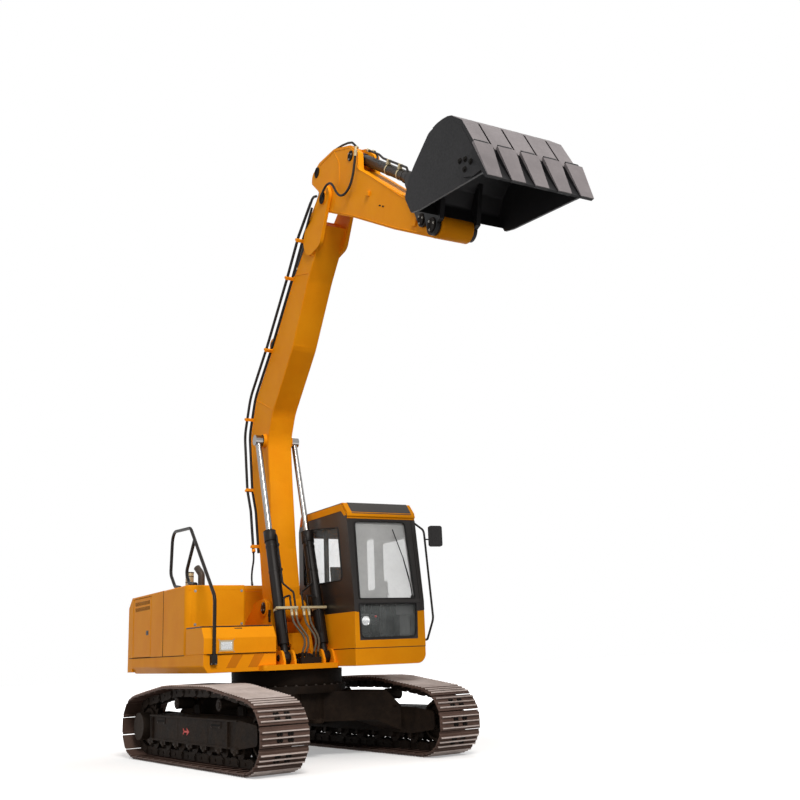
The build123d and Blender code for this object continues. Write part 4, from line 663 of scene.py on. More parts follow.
def pitch_axes(a, b):
    """Length from pin a to pin b, the direction out of the loop, and a way to place (along, out) points there."""
    length = dist(a, b)
    ty, tz = (b[0] - a[0]) / length, (b[1] - a[1]) / length
    ny, nz = tz, -ty
    return length, (0, ny, nz), lambda s, h: (a[0] + s * ty + h * ny, a[1] + s * tz + h * nz)


def shoe(kit, tips, x_mid, a, b):
    """One three-bar shoe on the link from pin a to pin b, with the bars' worn tips in a second piece."""
    length, out, put = pitch_axes(a, b)
    low, top = SHOE_RISE - 20, SHOE_RISE
    plate = [(-23, low - 12), (6, low - 12), (18, low + 4), (length - 12, low + 4), (length - 3, low),
             (length - 1, top - 7), (length - 14, top), (14, top), (2, top - 6), (-4, low - 5), (-23, low - 5)]
    kit.prism([put(*p) for p in plate], 0, x_mid - SHOE_HALF, x_mid + SHOE_HALF)
    wear = random.uniform(0, 2.5)
    for g in range(3):
        m = length * (g + 0.5) / 3
        crest = top + GROUSER - wear
        bar = [(m - 12, top - 2), (m - 8, top + 8), (m - 5.5, crest - 3), (m - 2, crest), (m + 2.5, crest),
               (m + 5.5, crest - 3), (m + 8, top + 8), (m + 12, top - 2)]
        points = []
        for x, inset in ((-SHOE_HALF + 2, 1), (SHOE_HALF - 2, -1)):
            for s, h in bar:
                rise = (h - top) / GROUSER
                y, z = put(s, h)
                points.append((x_mid + x + inset * 16 * max(rise, 0), y, z))
        kit.mesh(points, closed_faces(len(bar)))
        cap = [(m - 8.6, crest - 13), (m - 6.3, crest - 4), (m - 2.6, crest + 0.8), (m + 3.1, crest + 0.8),
               (m + 6.6, crest - 4), (m + 8.8, crest - 13)]
        tips.prism([put(*p) for p in cap], 0, x_mid - SHOE_HALF + 17, x_mid + SHOE_HALF - 17)
    for x in (-84, -48, 48, 84):
        for s in (length / 3, 2 * length / 3):
            holes.bolt((x_mid + x, *put(s, top)), out, 14, 13)


def link(kit, x_mid, a, b, flip):
    """The two rails of a link, its pin and its bushing."""
    length, _, put = pitch_axes(a, b)
    side = [(-34, -18), (-22, -36), (8, -44), (40, -58), (length - 40, -58), (length - 8, -44), (length + 22, -36),
            (length + 34, -14), (length + 30, 26), (length - 4, 46), (8, 46), (-28, 30)]
    for x in (-1, 1):
        mid = x_mid + x * (72 + (6 if flip else -6))
        kit.prism([put(*p) for p in side], 0, mid - 15, mid + 15)
    kit.rod((x_mid - 101, *put(0, 0)), (x_mid + 101, *put(0, 0)), 19, 12)
    kit.rod((x_mid - 50, *put(0, 0)), (x_mid + 50, *put(0, 0)), 29, 14)


for side, sign in (("right", -1), ("left", 1)):
    shoes = Kit(f"shoes_{side}", "shoe", "undercarriage")
    tips = Kit(f"shoe_edges_{side}", "ridge", "undercarriage")
    holes = Kit(f"shoe_bolts_{side}", "dark", "undercarriage", slot="track_steel")
    chain = Kit(f"chain_{side}", "cast", "undercarriage", slot="track_steel")
    for i, p in enumerate(PINS):
        q = PINS[(i + 1) % len(PINS)]
        shoe(shoes, tips, sign * GAUGE / 2, p, q)
        link(chain, sign * GAUGE / 2, p, q, i % 2)
    shoes.done(0.002, 1, 35, replaces=[f"track_{side}"])
    tips.done()
    holes.done()
    chain.done(0.002, 1, 40)

# track frames: ribs, covers, guards and bolts on the outer side of each
FRAME_OUT = 210.0
for side, sign in (("right", -1), ("left", 1)):
    x = sign * (GAUGE / 2 + FRAME_OUT)
    steel = Kit(f"frame_bolts_{side}", "bolt", "undercarriage")
    trim = Kit(f"frame_trim_{side}", "under", "undercarriage")
    hubs = Kit(f"roller_caps_{side}", "cast", "undercarriage")
    slot = Kit(f"frame_slots_{side}", "dark", "undercarriage")
    out = Vector((sign, 0, 0))

    for y in (-1180, 1060):
        trim.block(x, x + sign * 24, y - 7, y + 7, 286, 552)
    for y0, y1 in ((-980, -700), (660, 930)):
        trim.block(x - sign * 2, x + sign * 6, y0, y1, 472, 546)
        slot.block(x, x + sign * 7, y0 + 20, y1 - 20, 496, 516)
        for y in (y0 + 34, y1 - 34):
            steel.bolt((x + sign * 6, y, 484), out, 8, 7)
    trim.prism([(-1215, 300), (-1195, 300), (-1195, 470), (-1230, 520), (-1245, 520), (-1215, 462)], 0,
               x, x + sign * 5)
    for y in (-620, 260):
        trim.block(x - sign * 2, x + sign * 2, y, y + 8, 300, 560)
    for i in range(ROLLERS):
        y = IDLER_Y + 430 + (WHEEL_BASE - 860) * i / (ROLLERS - 1)
        hubs.lathe((x - sign * 16, y, 236), out, [(0, 50), (10, 50), (14, 44), (20, 42), (22, 30), (22, 0)], 24)
        hubs.bolt((x + sign * 6, y, 236), out, 12, 8)
        for dy in (-62, 62):
            hubs.block(x - sign * 20, x + sign * 3, y + dy - 26, y + dy + 26, 232, 268)
            steel.bolt((x - sign * 10, y + dy, 230), (0, 0, -1), 12, 12)
    for y in CARRIERS:
        hubs.lathe((sign * (GAUGE / 2 + 96), y, CARRIER_Z), out,
                   [(0, 74), (12, 74), (18, 66), (18, 40), (26, 36), (28, 0)], 28)
        steel.bolt_ring((sign * (GAUGE / 2 + 112), y, CARRIER_Z), 54, 6, out, 7, 6)
    # final drive: cover, its ring of bolts and its plugs
    c = (x - sign * 52, DRIVE_Y, WHEEL_Z)
    hubs.lathe(c, out, [(-4, 152), (10, 152), (16, 146), (20, 120), (34, 112), (38, 100), (38, 0)], 44)
    steel.bolt_ring((c[0] + sign * 15, DRIVE_Y, WHEEL_Z), 134, 12, out, 10, 9)
    steel.bolt_ring((c[0] + sign * 38, DRIVE_Y, WHEEL_Z), 62, 3, out, 14, 9, 0.6)
    # idler: hub cap with its bolts, and the guard plate over the adjuster
    hubs.lathe((sign * (GAUGE / 2 + 180), IDLER_Y, WHEEL_Z), out,
               [(0, 88), (14, 88), (20, 78), (20, 30), (26, 26), (26, 0)])
    steel.bolt_ring((sign * (GAUGE / 2 + 198), IDLER_Y, WHEEL_Z), 58, 4, out, 10, 8, pi / 4)
    trim.prism([(-1700, 520), (-1420, 560), (-1300, 560), (-1300, 574), (-1420, 574), (-1700, 534)], 0,
               sign * (GAUGE / 2 - 150), sign * (GAUGE / 2 + 200))
    # chain guides under the frame
    for y in (-700, 300):
        for inner in (-1, 1):
            gx = sign * GAUGE / 2 + inner * 150
            trim.block(gx - 12, gx + 12, y - 150, y + 150, 196, 300)
    hubs.done(0.002, 1)
    trim.done(0.003, 2)
    steel.done()
    slot.done()

# red direction mark on the right frame
mark = Kit("travel_mark", "red", "undercarriage")
x = -(GAUGE / 2 + FRAME_OUT + 2)
mark.prism([(-90, 402), (-10, 358), (-22, 392), (60, 392), (92, 362), (100, 372), (76, 402), (100, 432), (92, 442),
            (60, 412), (-22, 412), (-10, 446)], 0, x - 1, x + 1)
mark.done()

dress("track_frame_right track_frame_left car_body slew_ring", "under", 0.006)
dress("idler_right idler_left final_drive_right final_drive_left track_rollers_right track_rollers_left", "cast")

# car body: pads with their bolts, swivel cover and the ring of bolts
body = Kit("car_body_trim", "under", "undercarriage")
nuts = Kit("slew_bolts", "bolt", "undercarriage")
RING_Z, RING_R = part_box("slew_ring")[0].z * 1000, 746
for k in range(36):
    t = 2 * pi * k / 36
    nuts.bolt((RING_R * cos(t), RING_R * sin(t), RING_Z), UP, 13, 16)
for sx in (-1, 1):
    for sy in (-1, 1):
        body.block(sx * 940 - 40, sx * 940 + 30, sy * 970 - 190, sy * 970 + 190, 585, 600)
        for dy in (-150, -50, 50, 150):
            nuts.bolt((sx * 945, sy * 970 + dy, 600), UP, 13, 10)
body.lathe((0, 0, 430), (0, 0, -1), [(0, 190), (30, 190), (36, 180), (36, 90), (90, 86), (96, 0)], 40)
body.done(0.003)
nuts.done()


# ---------------------------------------------------------------- upper structure
def corners(node):
    """Lowest and highest corner of a node in millimetres from the swing axis."""
    return [(corner - HOUSE.translation) * 1000 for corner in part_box(node)]


tank_low, tank_high = corners("fuel_tank")
box_low, box_high = corners("toolbox")
door_low, door_high = corners("pump_door")
cool_low, cool_high = corners("cooler_door")
filter_low, filter_high = corners("filter_door")
hood_low, hood_high = corners("engine_hood")
tail_high = corners("counterweight")[1]
HALF_X = -tank_low.x
SHELF_Z = corners("platform_right")[1].z

dress("platform_right platform_left cab_base", "yellow_low", 0.006)
dress("toolbox fuel_tank side_panels engine_hood pump_door cooler_door filter_door counterweight", "yellow", 0.006)


def frame_zones(centre, normal):
    """Hose manifold in the front of the main frame."""
    x, y, z = centre.x * 1000, (centre.y - SWING_Y) * 1000, centre.z * 1000
    return "cast" if -108 < x < 178 and -722 < y < -620 and z > 1140 else None


dress("main_frame", "yellow", 0.006, zones=frame_zones)
dress("toolbox_lid", "tread", 0.003)
dress("engine", "cast", 0.006)
dress("swing_motor", "under", 0.006)
dress("exhaust", "pipe", 0.003)
dress("air_precleaner", "cream", 0.006)
dress("right_handrail", "black", 0)

trim = Kit("house_trim", "black")
panel_bolts = Kit("house_bolts", "steel")
lip = Kit("house_edges", "yellow")
gaps = Kit("house_seams", "dark")
# painted shade: the slanted shadow patches on the front of the platform
painted_shade_patches = Kit("platform_painted_shade", "shade")

# seams and folds along the right side and round the front of the platform
for x, out in ((-HALF_X, -1), (HALF_X, 1)):
    y0 = tank_low.y + 60 if out < 0 else filter_low.y
    gaps.block(x - out * 4, x + out * 1.5, y0, tail_high.y - 220, SHELF_Z - 5, SHELF_Z + 4)
gaps.block(-HALF_X + 40, box_high.x - 8, box_low.y - 1.5, box_low.y + 4, SHELF_Z - 5, SHELF_Z + 4)
gaps.block(-HALF_X - 1.5, -HALF_X + 3, tank_high.y + 1, tank_high.y + 7, SHELF_Z + 4, tank_high.z - 4)
# folded edge along the tank's top, drawn as a strip across its front
lip.block(tank_low.x + 30, tank_high.x - 20, tank_low.y - 2, tank_low.y + 3, tank_high.z - 60, tank_high.z - 56)
for x in (tank_low.x + 120, tank_high.x - 60):
    for z in (box_high.z + 60, tank_high.z - 75):
        panel_bolts.bolt((x, tank_low.y, z), AHEAD, 13, 10)
# mat along the toolbox's top edge, and its lock
trim.prism([(box_low.y + 98, box_high.z + 2), (box_low.y + 98, box_high.z + 16), (tank_low.y - 4, box_high.z + 20),
            (tank_low.y - 4, box_high.z + 2)], 0, box_low.x + 4, box_low.x + 11)
trim.block(-950, -850, box_low.y + 74, box_low.y + 100, box_high.z - 46, box_high.z - 12)
# foot plate of the handrail, with its bolts
rail_low = corners("right_handrail")[0]
trim.block(rail_low.x - 6, rail_low.x + 84, box_low.y - 4, box_low.y + 12, SHELF_Z - 122, SHELF_Z - 2)
for dx in (14, 64):
    for z in (SHELF_Z - 104, SHELF_Z - 22):
        panel_bolts.bolt((rail_low.x + dx, box_low.y - 4, z), AHEAD, 11, 9)
# slanted patches of painted shade on the front of the platform: darker yellow sheets that stand for shadows
for x in (-1080, -800):
    painted_shade_patches.prism([(x, SHELF_Z - 168), (x + 120, SHELF_Z - 168), (x + 215, SHELF_Z - 18), (x + 85, SHELF_Z - 18)], 1,
                 box_low.y + 9.6, box_low.y + 14)

# side doors: louvres, handles, folded borders and the grille
louvres = Kit("pump_door_louvres", "dark", "pump_door", slot="yellow_paint")
LOUVRES = 14
for row, z in enumerate((door_high.z - 96, door_high.z - 176)):
    for i in range(LOUVRES):
        y = door_low.y + 70 + (door_high.y - door_low.y - 190) * i / (LOUVRES - 1) - row * 12
        louvres.prism([(y, z), (y + 22, z), (y + 42, z + 52), (y + 20, z + 52)], 0, -HALF_X - 2, -HALF_X + 3)
louvres.done(0.001, 1)
for node, low, high, out in (("pump_door", door_low, door_high, -1), ("cooler_door", cool_low, cool_high, 1),
                             ("filter_door", filter_low, filter_high, 1)):
    x = HALF_X * out
    handle = Kit(node + "_handle", "black", node)
    border = Kit(node + "_border", "yellow", node)
    latch_y = low.y + 120 if node != "filter_door" else high.y - 200
    handle.block(x - out * 6, x + out, latch_y - 8, latch_y + 118, low.z + 300, low.z + 365)
    handle.block(x - out * 2, x + out * 8, latch_y + 8, latch_y + 102, low.z + 322, low.z + 343)
    handle.done(0.003)
    y0, y1, z0, z1 = low.y + 14, high.y - 14, low.z + 14, high.z - 14
    for sides in ((y0, y0 + 10, z0, z1), (y1 - 10, y1, z0, z1), (y0, y1, z0, z0 + 10), (y0, y1, z1 - 10, z1)):
        border.block(x - out * 4, x + out * 1.2, *sides)
    border.done(0.002)
grille = Kit("cooler_door_grille", "dark", "cooler_door", slot="yellow_paint")
slats = Kit("cooler_door_slats", "yellow", "cooler_door")
grille.block(HALF_X - 3, HALF_X + 1, cool_low.y + 150, cool_high.y - 120, cool_low.z + 420, cool_high.z - 90)
for i in range(11):
    z = cool_low.z + 430 + i * 29
    slats.prism([(HALF_X - 1, z), (HALF_X + 9, z + 3), (HALF_X + 9, z + 7), (HALF_X - 1, z + 22)], 1,
                cool_low.y + 145, cool_high.y - 115)
grille.done()
slats.done(0.001, 1)

# engine hood: louvres and grab bar
hood = Kit("hood_trim", "yellow", "engine_hood")
slots = Kit("hood_louvres", "dark", "engine_hood", slot="yellow_paint")
for x in (-620, 380):
    for i in range(9):
        y = hood_low.y + 240 + i * 62
        slots.block(x, x + 240, y, y + 16, hood_high.z - 2, hood_high.z + 1)
        hood.prism([(y + dy, hood_high.z + dz) for dy, dz in ((-20, -1), (2, 10), (12, 10), (12, 6))], 0, x - 6, x + 246)
hood.tube([(x, hood_high.y - 120, hood_high.z + rise) for x, rise in ((-120, -4), (-120, 46), (120, 46), (120, -4))],
          10, 12, 30)
hood.done(0.001, 1)
slots.done()

# tail: groove along the cast weight, reflectors and a blank plate
TAIL_CROWN = 60.0


def tail_at(x):
    """Rear face of the weight at a distance across."""
    return tail_high.y - TAIL_CROWN * (x / (HALF_X - 110)) ** 2


rear = [-HALF_X + 130 + (2 * HALF_X - 260) * i / 24 for i in range(25)]
for z, r in ((SHELF_Z + 30, 5), (SHELF_Z + 470, 4)):
    gaps.tube([(x, tail_at(x) - 1, z) for x in rear], r, 8, 0)
reflectors = Kit("tail_reflectors", "red")
for x in (-1020, 1020):
    y = tail_at(x)
    reflectors.block(x - 60, x + 60, y - 20, y + 5, SHELF_Z + 90, SHELF_Z + 130,
                     Matrix.Rotation(copysign(0.075, -x), 3, "Z"))
trim.block(-170, 170, tail_high.y - 20, tail_high.y + 1.5, SHELF_Z + 70, SHELF_Z + 190)
for x in (-150, 150):
    panel_bolts.bolt((x, tail_high.y + 1, SHELF_Z + 130), ASTERN, 8, 5)
reflectors.done(0.004)

# tank filler, exhaust rim, bands of the pre-cleaner, small lamp on the tank
cap = Kit("tank_filler", "black")
cap.lathe((tank_low.x + 330, tank_low.y + 560, tank_high.z), UP,
          [(-2, 62), (14, 62), (18, 56), (44, 52), (48, 40), (48, 0)])
cap.done()
ex_low, ex_high = corners("exhaust")
rim = Kit("exhaust_rim", "pipe")
rim.lathe(((ex_low.x + ex_high.x) / 2 + 20, ex_low.y + 48, ex_low.z), UP,
          [(0, 78), (8, 78), (10, 56), (60, 54), (62, 0)])
rim.done()
pre_low, pre_high = corners("air_precleaner")
bowl = Kit("precleaner_bands", "black", slot="black_plastic")
pre = ((pre_low.x + pre_high.x) / 2, (pre_low.y + pre_high.y) / 2)
for z in (pre_high.z - 150, pre_high.z - 70):
    bowl.lathe((*pre, z), UP, [(0, 57), (0, 59), (10, 59), (10, 57)])
bowl.lathe((*pre, pre_high.z - 14), UP, [(0, 57), (0, 60), (10, 60), (14, 50), (14, 0)])
bowl.done()
knob = Kit("hood_latch_lamp", "orange_lamp")
knob.lathe((rail_low.x + 60, tank_high.y - 60, tank_high.z), UP, [(-2, 16), (26, 16), (34, 10), (36, 0)], 20)
knob.done()

# work lamp in the front of the toolbox
LAMP = (-1080.0, 1400.0)
bezel = Kit("toolbox_lamp_bezel", "yellow")
shade = Kit("toolbox_lamp_case", "cream", slot="black_plastic")
dish = Kit("toolbox_lamp_reflector", "reflector")
front = Kit("toolbox_lamp_lens", "glass")
x, z = LAMP
y = box_low.y
for kit, w, h, t, y0 in ((bezel, 104, 80, 14, y - 5), (shade, 90, 66, 20, y - 3)):
    for rise in (h - t, -h):
        kit.block(x - w, x + w, y0, y + 2, z + rise, z + rise + t)
    for side in (-w, w - t):
        kit.block(x + side, x + side + t, y0, y + 2, z - h + t, z + h - t)
dish.block(x - 72, x + 72, y - 1.5, y + 1, z - 48, z + 48)
for i in range(8):
    dish.block(x - 66 + i * 17, x - 60 + i * 17, y - 2.5, y, z - 44, z + 44)
front.block(x - 72, x + 72, y - 5, y - 3.5, z - 48, z + 48)
for kit in (bezel, shade, dish, front):
    kit.done(0.003)
for dx, dz in itertools.product((-96, 96), (-72, 72)):
    panel_bolts.bolt((x + dx, y - 5, z + dz), AHEAD, 5, 4)

# main frame: pin covers on the webs, bracket, hose manifold, pipes to the swivel, valve block
foot, base = ((joint_at(name) - HOUSE.translation) * 1000 for name in ("boom_pivot", "boom_cylinder_right_swivel"))
WEB_X, LIFT_X = 267, 272
for sign in (-1, 1):
    out = Vector((sign, 0, 0))
    trim.lathe((sign * (WEB_X + 18), foot.y, foot.z), out, [(-2, 78), (6, 78), (10, 70), (10, 0)], 36)
    panel_bolts.bolt_ring((sign * (WEB_X + 28), foot.y, foot.z), 50, 3, out, 11, 8, pi / 2)
for side, out in itertools.product((-1, 1), (-1, 1)):
    trim.lathe((side * LIFT_X + out * 90, base.y, base.z), (out, 0, 0), [(0, 42), (10, 42), (13, 36), (13, 0)], 28)
trim.block(-(WEB_X + 16), -(WEB_X - 2), -110, -60, 1690, 1850)
trim.block(-(WEB_X + 24), -(WEB_X - 2), -104, -66, 1760, 1800)
manifold = Kit("hose_manifold", "cast")
for i in range(1, 5):
    x, y, z = HOSES[f"lift_hose_{i}"][-1][-1]
    manifold.rod((x, y, z - 6), (x, y, z + 42), 21, 6)
    manifold.rod((x, y, z + 38), (x, y, z + 64), 17, 20)
manifold.rod((0, -640, 1200), (0, -560, 1200), 30, 20)
manifold.rod((70, -640, 1190), (70, -560, 1240), 22, 20)
manifold.done(0.002)
swivel = Kit("swivel_pipes", "rubber")
for i, x in enumerate((-150, -105, 60, 120, 165)):
    swivel.tube([(x, -630, 1185 + 12 * (i % 2)), (x, -560, 1200), (x * 0.8, -470, 1260), (x * 0.7, -330, 1270),
                 (x * 0.7, -160, 1240)], 13, 10, 60)
swivel.done()
block = Kit("valve_block", "cast")
block.block(-150, 150, -20, 420, 1150, 1330)
for i in range(5):
    block.rod((-120 + i * 60, 60, 1330), (-120 + i * 60, 60, 1372), 20, 6)
    block.rod((-120 + i * 60, 300, 1330), (-120 + i * 60, 300, 1362), 17, 16)
block.done(0.006)
trim.done(0.003)
panel_bolts.done()
lip.done(0.002)
gaps.done()
painted_shade_patches.done()


# ---------------------------------------------------------------- cab
cab_low, cab_high = corners("cab_shell")
cab_r, cab_l = cab_low.x, cab_high.x
CAB_FRONT, CAB_REAR = cab_low.y, cab_high.y
SILL, ROOF = cab_low.z, cab_high.z
BELT, BROW, LEAN, WALL = 1870.0, 2985.0, 160.0, 50.0
FLOOR = SILL + WALL
SEAT = Vector((860, -330, FLOOR))


def front_at(z):
    """Front face of the cab at a height."""
    if z <= BELT:
        return CAB_FRONT
    return CAB_FRONT + LEAN * (z - BELT) / (BROW - BELT)


def corner_arcs(points):
    """Outline of (u, v, radius) corners as plain points with rounded corners."""
    line = []
    for i, p in enumerate(points):
        a, b, c = (Vector(q[:2]) for q in (points[i - 1], p, points[(i + 1) % len(points)]))
        line += [tuple(q) for q in (corner_arc(a, b, c, p[2]) if len(p) > 2 else [b])]
    return line


def seal(kit, place, r, outline):
    """Rubber section laid round an opening."""
    line = [place(*p) for p in corner_arcs(outline)]
    mid = (Vector(line[-1]) + Vector(line[0])) / 2
    kit.tube([mid] + line + [mid], r, 8, 0)


def on_front(u, v):
    return u, front_at(v) - 1, v


def on_left(u, v):
    return cab_l + 1, u, v


# openings: where they lie, size of the seal, corners with their radii
WINDOWS = (
    (on_front, 12, [(440, 1905, 30), (1240, 1905, 30), (1205, 2900, 60), (465, 2900, 60)]),
    (on_front, 12, [(450, 1430, 70), (1230, 1430, 70), (1250, 1850, 12), (430, 1850, 12)]),
    (lambda u, v: (cab_r - 1, u, v), 10, [(-985, 2165, 60), (-890, 2850, 60), (210, 2935, 60), (210, 2165, 60)]),
    (on_left, 10, [(-70, 2100, 50), (-70, 2830, 50), (260, 2830, 60), (260, 2100, 60)]),
    (lambda u, v: (u, CAB_REAR + 1, v), 10, [(480, 2080, 50), (1240, 2080, 50), (1240, 2860, 50), (480, 2860, 50)]))
DOOR = (on_left, 9, [(-1085, 1900, 50), (-1020, 2730, 50), (-230, 2730, 60), (-230, 1900, 60)])


def roof_zones(centre, normal):
    """Yellow top of the cab."""
    return "yellow" if centre.z * 1000 > BROW + 20 and normal.z > 0.2 else None


dress("cab_shell", "cab_black", zones=roof_zones)
dress("cab_door", "cab_black")


def pane_zones(centre, normal):
    """Dustier glass in the upper pane of the front."""
    return "screen_glass" if centre.y - SWING_Y < -0.85 and centre.z > BELT / 1000 and abs(normal.y) > 0.9 else None


dress("cab_glass", "glass", 0, zones=pane_zones)
dress("cab_door_glass", "glass", 0)
dress("cab_rail", "black", 0)
dress("rear_mirror", "plastic", 0.002)
dress("controls", "plastic")

# yellow skins: lower cab sides and front corners, roof edges, strip under the visor
skins = Kit("cab_skins", "yellow")
SKIN_TOP, PLINTH_TOP = 1755, 1404
skins.block(cab_r - 3, cab_r + 1, CAB_FRONT + 1, CAB_REAR - 2, SILL + 2, SKIN_TOP)
skins.block(cab_l - 1, cab_l + 3, CAB_FRONT + 1, -1151, SILL + 2, SKIN_TOP)
skins.block(cab_r + 1, cab_l - 1, CAB_FRONT - 3, CAB_FRONT + 1, SILL + 2, PLINTH_TOP)
for side, low, high in ((cab_r + 1, 430, 424), (cab_l - 1, 1254, 1262)):
    skins.prism([(side, PLINTH_TOP - 2), (low, PLINTH_TOP - 2), (high, 1745), (side, SKIN_TOP)],
                1, CAB_FRONT - 3, CAB_FRONT + 1)
skins.prism(corner_arcs([(-140, SILL + 2), (CAB_REAR - 2, SILL + 2), (CAB_REAR - 2, 2060, 40), (-140, 2060)]),
            0, cab_l - 1, cab_l + 3)
roof_edge = [(CAB_FRONT + LEAN - 4, BROW - 12), (CAB_FRONT + LEAN + 150, ROOF - 12, 40),
             (CAB_REAR - 92, ROOF - 12, 60), (CAB_REAR - 40, BROW + 10, 30), (CAB_REAR - 110, BROW + 10),
             (CAB_REAR - 160, ROOF - 104, 50), (CAB_FRONT + LEAN + 150, ROOF - 104, 60),
             (CAB_FRONT + LEAN + 66, BROW - 12)]
for x, out in ((cab_r, -1), (cab_l, 1)):
    skins.prism(corner_arcs(roof_edge), 0, x - out, x + out * 5)
y = front_at(BROW - 30)
skins.block(cab_r + 4, cab_l - 4, y - 8, y + 6, BROW - 52, BROW - 34)
skins.done(0.002)
lower = Kit("cab_door_skin", "yellow", "cab_door")
lower.block(cab_l - 1, cab_l + 3, -1138, -152, 1350, SKIN_TOP)
lower.done(0.002)

# brow: yellow sheet that stands proud of the front, with a grey panel set in it
brow = Kit("cab_brow", "yellow")
brow.prism(corner_arcs([(y - 6, BROW - 34), (y - 26, BROW - 22, 6), (y - 12, BROW + 34, 40), (y + 112, ROOF + 1, 30),
                        (y + 300, ROOF + 1), (y + 300, ROOF - 4), (y + 122, ROOF - 6), (y + 6, BROW + 24),
                        (y - 6, BROW - 20)]), 0, cab_r + 2, cab_l - 2)
brow.done(0.004)
visor = Kit("cab_visor", "brown")
visor.prism(corner_arcs([(y - 19, BROW + 12), (y - 10, BROW + 36, 30), (y + 108, ROOF + 5, 20),
                         (y + 520, ROOF + 5), (y + 520, ROOF - 2), (y + 112, ROOF - 3), (y + 2, BROW + 30)]),
            0, cab_r + 66, cab_l - 52)
visor.done(0.004)

# seals round the glass, and the black frame that stands round the front
rubber = Kit("cab_seals", "seal")
for window in WINDOWS:
    seal(rubber, *window)
rubber.done()
door_rubber = Kit("cab_door_seal", "seal", "cab_door")
seal(door_rubber, *DOOR)
door_rubber.done()
front_frame = Kit("cab_front_frame", "cab_black")
for x0, x1 in ((cab_r - 2, cab_r + 58), (cab_l - 58, cab_l + 2)):
    front_frame.prism([(front_at(z) + depth, z) for z, depth in (
        (SKIN_TOP + 3, -8), (BELT, -8), (BROW - 60, -8), (BROW - 60, 60), (BELT, 60), (SKIN_TOP + 3, 60))], 0, x0, x1)
front_frame.block(cab_r + 40, cab_l - 40, CAB_FRONT - 7, CAB_FRONT + 4, 1852, 1900)
front_frame.done(0.006)
post_strip = Kit("cab_right_pillar", "liner")
post_strip.block(cab_r + WALL, cab_r + WALL + 40, -420, -330, 2150, 2950)
post_strip.done(0.01)

# door furniture
furniture = Kit("cab_door_handle", "black", "cab_door")
furniture.block(cab_l - 2, cab_l + 6, -300, -190, 1800, 1860)
furniture.tube([(cab_l + off, y, 1832) for off, y in ((0, -290), (22, -290), (22, -200), (0, -200))], 7, 10, 12)
furniture.done(0.002)
hinge = Kit("cab_door_hinges", "black")
for z in (1480, 1830, 2620):
    hinge.rod((cab_l + 8, -1150, z - 45), (cab_l + 8, -1150, z + 45), 9, 16)
hinge.done(0.001)

# wiper on the upper pane, pivoted at its lower left corner: spindle, arm, blade
wiper = Kit("front_wiper", "seal")
wiper.lathe((1195, front_at(1925) - 2, 1925), AHEAD, [(0, 22), (16, 20), (20, 10), (20, 0)], 20)
wiper.tube([(x, front_at(z) - off, z) for x, z, off in ((1195, 1925, 16), (1172, 2180, 14), (1120, 2440, 10))],
           6, 8, 60)
for off, r in ((6, 6), (2, 4)):
    wiper.tube([(x, front_at(z) - off, z) for x, z in ((1010, 2800), (1120, 2440), (1180, 2120))], r, 6, 30)
wiper.done()

# roof studs
studs = Kit("roof_studs", "orange_lamp", slot="black_paint")
for x, yy in ((cab_r + 120, -640), (cab_r + 330, -980)):
    studs.lathe((x, yy, ROOF - 2), UP, [(-10, 22), (0, 22), (0.5, 18), (1, 0)], 20)
studs.done()

# inside: lining, floor mat, console, gauge, light, pedals, levers and monitor
lining = Kit("cab_lining", "liner", slot="black_plastic")
lining.block(cab_r + WALL, cab_l - WALL, CAB_REAR - WALL - 14, CAB_REAR - WALL - 1, FLOOR, 2060)
lining.block(cab_r + WALL + 1, cab_l - WALL - 1, CAB_FRONT + 300, CAB_REAR - WALL - 20,
             ROOF - WALL - 12, ROOF - WALL - 2)
lining.block(cab_r + WALL, cab_r + WALL + 12, CAB_FRONT + 80, CAB_REAR - WALL - 10, FLOOR, 2120)
lining.done(0.004)
mat = Kit("floor_mat", "rubber", slot="black_plastic")
mat.block(cab_r + 60, cab_l - 60, CAB_FRONT + 60, SEAT.y - 200, FLOOR, FLOOR + 12)
for i in range(14):
    mat.block(cab_r + 90, cab_l - 90, CAB_FRONT + 80 + i * 48, CAB_FRONT + 92 + i * 48, FLOOR + 11, FLOOR + 15)
mat.done(0.002)
dash = Kit("front_console", "plastic")
dash.prism([(CAB_FRONT + dy, z) for dy, z in ((58, 1905), (150, 1905), (230, 1830), (120, 1700), (58, 1700))],
           0, 980, 1240)
dash.block(1030, 1180, CAB_FRONT + 60, CAB_FRONT + 130, FLOOR, 1702)
dash.done(0.01)
dial = Kit("round_gauge", "reflector")
dial.lathe((560, CAB_FRONT + 90, 1640), AHEAD, [(-24, 62), (0, 62), (6, 56), (2, 50), (0, 0)], 36)
dial.done(0.001)
spot = Kit("console_light", "red", slot="black_plastic")
spot.lathe((700, CAB_FRONT + 80, 1690), AHEAD, [(-8, 14), (6, 13), (12, 8), (13, 0)], 16)
spot.done()
pedals = Kit("travel_pedals", "tread")
for x in (790, 930):
    pedals.block(x - 50, x + 50, -1080, -860, FLOOR + 38, FLOOR + 52, spin(14, "X"))
    for i in range(5):
        pedals.block(x - 46, x + 46, -1060 + i * 40, -1048 + i * 40, FLOOR + 50, FLOOR + 58)
    pedals.lathe((x, -900, FLOOR + 540), UP, [(-70, 14), (-60, 20), (0, 20), (14, 12), (16, 0)], 16)
pedals.done(0.003)
knobs = Kit("joystick_grips", "rubber", slot="black_plastic")
for sign in (-1, 1):
    x = SEAT.x + sign * 345
    knobs.lathe((x, SEAT.y - 260, FLOOR + 690), (0, 0.1, 1),
                [(-60, 40), (-30, 30), (0, 24), (60, 30), (110, 34), (128, 24), (132, 0)], 20)
    for k in range(4):
        knobs.lathe((x, SEAT.y - 260, FLOOR + 525 + k * 22), UP,
                    [(0, 46 - k * 6), (11, 52 - k * 6), (22, 44 - k * 6)], 20)
    knobs.block(x - 45, x + 45, SEAT.y - 170, SEAT.y + 250, FLOOR + 520, FLOOR + 575)
knobs.done(0.006)
screen_case = Kit("monitor_case", "plastic")
